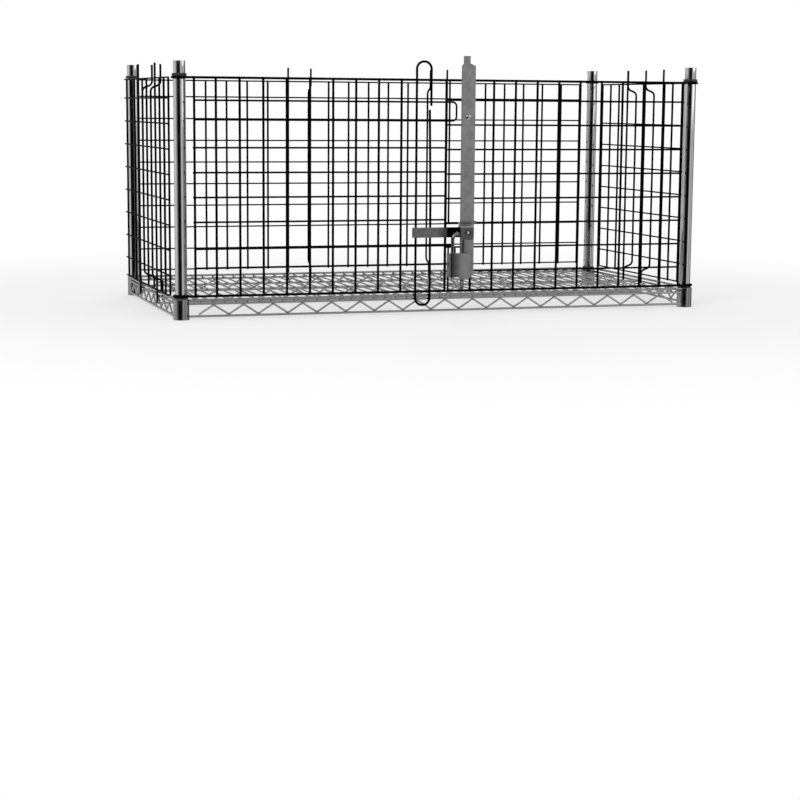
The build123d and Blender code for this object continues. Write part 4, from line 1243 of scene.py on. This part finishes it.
class CAGE_OT_latch(CageOperator):
    """The latch arm, its pivot rivet and washer, and the pressed bracket over them."""
    bl_idname = "cage.build_latch"
    bl_label = "Latch"

    def execute(self, context):
        arm = soft_copy("latch_arm", "latch_arm", rolled_arm(), PLATE_EDGE)
        arm.data.set_sharp_from_angle(angle=np.radians(SHARP_ARM_EDGE))
        self.bracket()
        self.pivot()
        return {"FINISHED"}

    def bracket(self):
        """Tab, sloping roof and front plate as one bent sheet, and the flange with its hasp hole."""
        low, high = corners("hasp_bracket")
        bar_face = corners("lock_bar")[0][Y]
        tab_top = high[Z]
        roof_top = tab_top - TAB_TALL / 2
        fold_z = roof_top - BRACKET_ROOF_DROP
        plate_y = low[Y] + SHEET / 2
        tab_y = bar_face - SHEET / 2
        centre_x = low[X] + BRACKET_WIDE / 2
        half = BRACKET_WIDE / 2
        angle = np.radians(np.linspace(BRACKET_CORNER_FROM, 90, 9))
        round_z = low[Z] + BRACKET_CORNER * (1 - np.sin(angle))
        round_half = half - BRACKET_CORNER * (1 - np.cos(angle))
        bend = rounded([(0, tab_y, roof_top - SHEET / 2), (0, plate_y, fold_z - SHEET / 4),
                        (0, plate_y, low[Z] + BRACKET_CORNER)], FOLD_BEND, step=12)[:, 1:]
        path = np.concatenate([bend, np.stack([plate_y + 0 * round_z, round_z], axis=1)])
        widths = np.concatenate([np.full(len(bend), half), round_half])
        shells = [folded_sheet(path, widths, centre_x)]
        tab_half = (high[X] - low[X] - BRACKET_OUT) / 2
        tab_x = high[X] - tab_half
        tab_path = [(tab_y, tab_top - down) for down in (0, TAB_TALL / 2, TAB_TALL)]
        shells.append(folded_sheet(tab_path, np.full(3, tab_half), tab_x))
        hole_y, hole_z = self.hasp_hole(low[X] + SHEET / 2)
        back = corners("latch_arm")[0][Y] - FLANGE_PAST_ARM
        foot = low[Z] + BRACKET_CORNER
        outline = [(back, foot), (plate_y, foot), (plate_y, fold_z - SHEET / 2),
                   (back, roof_top - FLANGE_UNDER_ROOF)]
        hole = round_hole((hole_y, hole_z), HASP_HOLE_R)
        shells.append(flat_plate(softened(outline, CUT_CORNER), [hole], SHEET, X, low[X] + SHEET / 2))
        piece("hasp_bracket", "pressed", shells, pressed_sheet(), "right_door")

    def hasp_hole(self, flange_x):
        """Y and Z where the shackle's bow crosses the flange."""
        body = middle("padlock_body")
        bow_r = SHACKLE_GAP / 2
        top = corners("padlock_shackle")[1][Z] - SHACKLE_R - bow_r
        turn = np.radians(PADLOCK_TURN)
        beside = flange_x - body[X]
        return body[Y] + beside * np.sin(turn), top + np.sqrt(bow_r**2 - beside**2)

    def pivot(self):
        """A rivet with a domed head, a shoulder in front of the arm and a tail, and a washer."""
        bright = bright_fastener()
        low, high = corners("pivot_rivet")
        centre = ((low[X] + high[X]) / 2, 0, (low[Z] + high[Z]) / 2)
        head_r = (high[X] - low[X]) / 2
        plate_face = -corners("hasp_bracket")[0][Y]
        plate_back = plate_face - SHEET
        arm_front = -corners("latch_arm")[0][Y] + RIVET_PLAY
        tail_front = -high[Y] + RIVET_TAIL
        tail_r, bevel = RIVET_SHOULDER_R, RIVET_TAIL_BEVEL
        tail = [(tail_r - bevel, -high[Y]), (tail_r, -high[Y] + bevel), (tail_r, tail_front)]
        shank = [(RIVET_R, tail_front), (RIVET_R, arm_front), (RIVET_SHOULDER_R, arm_front),
                 (RIVET_SHOULDER_R, plate_back), (RIVET_R, plate_back), (RIVET_R, plate_face)]
        head = dished(head_r, plate_face, -low[Y] - plate_face)
        rivet = turned([*tail, *shank, *head], centre, Y, FASTENER_SIDES)
        piece("pivot_rivet", "headed", [rivet], rivet_with_painted_highlight(), "right_door")
        low, high = corners("pivot_washer")
        washer_r = (high[X] - low[X]) / 2
        outline = [(washer_r, -high[Y]), (washer_r, -low[Y]), (RIVET_R, -low[Y]), (RIVET_R, -high[Y])]
        washer = turned(softened(outline, WASHER_EDGE), centre, Y, FASTENER_SIDES, ring=True)
        piece("pivot_washer", "stamped", [washer], bright, "right_door")


class CAGE_OT_padlock(CageOperator):
    """The padlock: brushed case, polished shackle and brass plug."""
    bl_idname = "cage.build_padlock"
    bl_label = "Padlock"

    def execute(self, context):
        case = soft_copy("padlock_body", "padlock_body", padlock_case(), PADLOCK_EDGE)
        self.widen(case.data)
        soft_copy("padlock_plug", "padlock_plug", plug_brass(), PLUG_EDGE)
        body = middle("padlock_body")
        body_top = corners("padlock_body")[1][Z]
        low, high = corners("padlock_shackle")
        turn = np.radians(PADLOCK_TURN)
        across = np.array([np.cos(turn), np.sin(turn), 0])
        facing = np.array([-np.sin(turn), np.cos(turn), 0])
        half = SHACKLE_GAP / 2
        bow_z = high[Z] - SHACKLE_R - half
        turned_by = np.radians(np.linspace(180, 0, BOW_POINTS))
        s = np.concatenate([[-half], half * np.cos(turned_by), [half]])
        z = np.concatenate([[low[Z]], bow_z + half * np.sin(turned_by), [body_top - SHORT_LEG_IN]])
        path = np.array([body[X], body[Y], 0]) + s[:, None] * across + z[:, None] * np.array(UP)
        radius = SHACKLE_R / WIRE_FULLNESS
        bow = wires([path], facing, radius, SHACKLE_SIDES)
        piece("padlock_shackle", "polished", bow, polished_shackle(), "padlock_shackle")
        return {"FINISHED"}

    def widen(self, mesh):
        """Moves the case's right wall, all that lies past the shackle's bores, further out."""
        turn = np.radians(PADLOCK_TURN)
        across = np.array([np.cos(turn), np.sin(turn), 0])
        points = np.empty(len(mesh.vertices) * 3, np.float32)
        mesh.vertices.foreach_get("co", points)
        points = points.reshape(-1, 3)
        beside = (points - middle("padlock_body")) @ across
        points[beside > SHACKLE_GAP / 2 + BORE_OVER_SHACKLE * SHACKLE_R] += across * PADLOCK_WIDER
        mesh.vertices.foreach_set("co", points.ravel())
        mesh.update()


class CAGE_OT_studio(CageOperator):
    """Pale floor, soft lamps, white surroundings and the camera."""
    bl_idname = "cage.build_studio"
    bl_label = "Studio"

    def execute(self, context):
        self.floor()
        self.lamps()
        self.surroundings()
        self.camera()
        context.scene.view_settings.view_transform = "Standard"
        return {"FINISHED"}

    def floor(self):
        """A wide pale floor that goes over to plain white away from the cage."""
        mesh = bpy.data.meshes.new("studio_floor")
        signs = ((-1, -1), (1, -1), (1, 1), (-1, 1))
        mesh.from_pydata([(FLOOR_HALF * x, FLOOR_HALF * y, 0) for x, y in signs], [], [(0, 1, 2, 3)])
        made = bpy.data.objects.new("studio_floor", mesh)
        bpy.context.scene.collection.objects.link(made)
        material, tree, shader, place = new_material("matt_studio_floor")
        shader.inputs["Roughness"].default_value = 0.9
        shader.inputs["Specular IOR Level"].default_value = 0.0
        scaled = add(tree, "ShaderNodeMapping", {"Scale": 3 * (1 / FLOOR_SPECK,)}, {"Vector": place})
        speck = add(tree, "ShaderNodeTexNoise", {"Scale": 1.0, "Detail": 2.0},
                    {"Vector": scaled.outputs["Vector"]}).outputs["Fac"]
        paint = add(tree, "ShaderNodeMix", tints(colours().floor, (0.99, 1.0)), {0: speck},
                    data_type="RGBA")
        tree.links.new(paint.outputs[2], shader.inputs["Base Color"])
        away = add(tree, "ShaderNodeVectorMath", links={0: place}, operation="LENGTH")
        fade = add(tree, "ShaderNodeMapRange", {"From Min": FLOOR_FADE[0], "From Max": FLOOR_FADE[1],
                                                "To Min": FLOOR_WHITE},
                   {"Value": away.outputs["Value"]}, interpolation_type="SMOOTHSTEP")
        white = add(tree, "ShaderNodeEmission", {"Color": (1, 1, 1, 1), "Strength": 1.0})
        plain = add(tree, "ShaderNodeMixShader", links={0: fade.outputs["Result"]})
        tree.links.new(shader.outputs["BSDF"], plain.inputs[1])
        tree.links.new(white.outputs["Emission"], plain.inputs[2])
        through = add(tree, "ShaderNodeBsdfTransparent")
        rays = add(tree, "ShaderNodeLightPath")
        seen = add(tree, "ShaderNodeMixShader", links={0: rays.outputs["Is Glossy Ray"]})
        tree.links.new(plain.outputs["Shader"], seen.inputs[1])
        tree.links.new(through.outputs["BSDF"], seen.inputs[2])
        tree.links.new(seen.outputs["Shader"], tree.nodes["Material Output"].inputs["Surface"])
        mesh.materials.append(material)

    def lamps(self):
        """Three soft square lamps that face the cage."""
        for name, at, size, power in LAMPS:
            lamp = bpy.data.lights.new(name, "AREA")
            lamp.size = size
            lamp.energy = power
            made = bpy.data.objects.new(name, lamp)
            made.location = at
            sight = Vector(LAMPS_LOOK_AT) - Vector(at)
            made.rotation_euler = sight.to_track_quat("-Z", "Y").to_euler()
            bpy.context.scene.collection.objects.link(made)

    def surroundings(self):
        """White round the camera's view, and for reflections the studio's lit and unlit sides.

        The unlit sides stand at fixed compass directions: a wide one in front of the cage, towards
        its left, and lesser ones behind it and at its ends. They are level bands, so the ceiling and
        the floor stay white.
        """
        world = bpy.data.worlds.new("studio")
        bpy.context.scene.world = world
        world.use_nodes = True
        tree = world.node_tree
        tree.nodes.clear()
        way = add(tree, "ShaderNodeTexCoord").outputs["Generated"]
        parts = add(tree, "ShaderNodeSeparateXYZ", links={"Vector": way})
        compass = add(tree, "ShaderNodeMath", links={0: parts.outputs["Y"], 1: parts.outputs["X"]},
                      operation="ARCTAN2")
        around = add(tree, "ShaderNodeMapRange", {"From Min": -np.pi, "From Max": np.pi},
                     {"Value": compass.outputs["Value"]})
        walls = add(tree, "ShaderNodeValToRGB", links={"Fac": around.outputs["Result"]})
        ramp = walls.color_ramp
        ramp.interpolation = "LINEAR"
        for index, (degrees, level) in enumerate(WALLS):
            spot = (degrees + 180) / 360
            stop = ramp.elements[index] if index < 1 else ramp.elements.new(spot)
            stop.position = spot
            stop.color = (level, level, level, 1.0)
        steep = add(tree, "ShaderNodeMath", links={0: parts.outputs["Z"]}, operation="ABSOLUTE")
        ceiling = add(tree, "ShaderNodeMapRange",
                      {"From Min": WALL_TO_CEILING[0], "From Max": WALL_TO_CEILING[1]},
                      {"Value": steep.outputs["Value"]}, interpolation_type="SMOOTHSTEP")
        mirrored = add(tree, "ShaderNodeMix", {7: (1, 1, 1, 1)},
                       {0: ceiling.outputs["Result"], 6: walls.outputs["Color"]}, data_type="RGBA")
        rays = add(tree, "ShaderNodeLightPath")
        reflected = add(tree, "ShaderNodeBackground", {"Strength": 1.0},
                        {"Color": mirrored.outputs[2]})
        white = add(tree, "ShaderNodeBackground", {"Color": (1, 1, 1, 1), "Strength": 1.0})
        soft = add(tree, "ShaderNodeBackground", {"Color": (1, 1, 1, 1), "Strength": SOFT_LIGHT})
        clear = add(tree, "ShaderNodeMath", operation="MAXIMUM",
                    links={0: rays.outputs["Is Camera Ray"], 1: rays.outputs["Is Transmission Ray"]})
        first = add(tree, "ShaderNodeMixShader", links={0: rays.outputs["Is Glossy Ray"]})
        tree.links.new(soft.outputs["Background"], first.inputs[1])
        tree.links.new(reflected.outputs["Background"], first.inputs[2])
        second = add(tree, "ShaderNodeMixShader", links={0: clear.outputs["Value"]})
        tree.links.new(first.outputs["Shader"], second.inputs[1])
        tree.links.new(white.outputs["Background"], second.inputs[2])
        out = add(tree, "ShaderNodeOutputWorld")
        tree.links.new(second.outputs["Shader"], out.inputs["Surface"])

    def camera(self):
        """A camera that looks along a yaw and pitch, and is rolled about its own line of sight."""
        yaw, pitch, roll = (np.radians(a) for a in (CAMERA_YAW, CAMERA_PITCH, CAMERA_ROLL))
        sight = np.array([np.sin(yaw) * np.cos(pitch), np.cos(yaw) * np.cos(pitch), np.sin(pitch)])
        level = np.array([np.cos(yaw), -np.sin(yaw), 0.0])
        right = level * np.cos(roll) + np.cross(level, sight) * np.sin(roll)
        up = np.cross(right, sight)
        lens = bpy.data.cameras.new("camera")
        lens.lens, lens.sensor_width = CAMERA_LENS, CAMERA_SENSOR
        made = bpy.data.objects.new("camera", lens)
        turn = np.eye(4)
        turn[:3, 0], turn[:3, 1], turn[:3, 2] = right, up, -sight
        turn[:3, 3] = np.array(CAMERA_AT) * MM
        made.matrix_world = Matrix(turn.tolist())
        bpy.context.scene.collection.objects.link(made)
        bpy.context.scene.camera = made


BUILDERS = (CAGE_OT_posts, CAGE_OT_collars, CAGE_OT_shelf, CAGE_OT_panels, CAGE_OT_doors,
            CAGE_OT_lock_bar, CAGE_OT_latch, CAGE_OT_padlock, CAGE_OT_studio)


class CAGE_PT_builders(bpy.types.Panel):
    """Lists the cage's sizes, colours and builders."""
    bl_idname = "CAGE_PT_builders"
    bl_label = "Security cage"
    bl_space_type = "VIEW_3D"
    bl_region_type = "UI"
    bl_category = "Security Cage"

    def draw(self, context):
        """Every size, every colour and a button for each builder."""
        for group in (context.scene.cage_sizes, context.scene.cage_colours):
            for name in group.bl_rna.properties.keys():
                if name not in ("rna_type", "name"):
                    self.layout.prop(group, name)
        for builder in BUILDERS:
            self.layout.operator(builder.bl_idname)


CLASSES = (CageSizes, CageColours, *BUILDERS, CAGE_PT_builders)


def register():
    """Makes the classes known, and gives the scene its sizes and colours."""
    for made in CLASSES:
        bpy.utils.register_class(made)
    bpy.types.Scene.cage_sizes = bpy.props.PointerProperty(type=CageSizes)
    bpy.types.Scene.cage_colours = bpy.props.PointerProperty(type=CageColours)


def unregister():
    """Takes back what register did, in reverse order."""
    del bpy.types.Scene.cage_colours
    del bpy.types.Scene.cage_sizes
    for made in reversed(CLASSES):
        bpy.utils.unregister_class(made)


def main():
    """Builds every piece and the studio."""
    register()
    for builder in BUILDERS:
        group, name = builder.bl_idname.split(".")
        getattr(getattr(bpy.ops, group), name)()


if __name__ == "__main__":
    main()
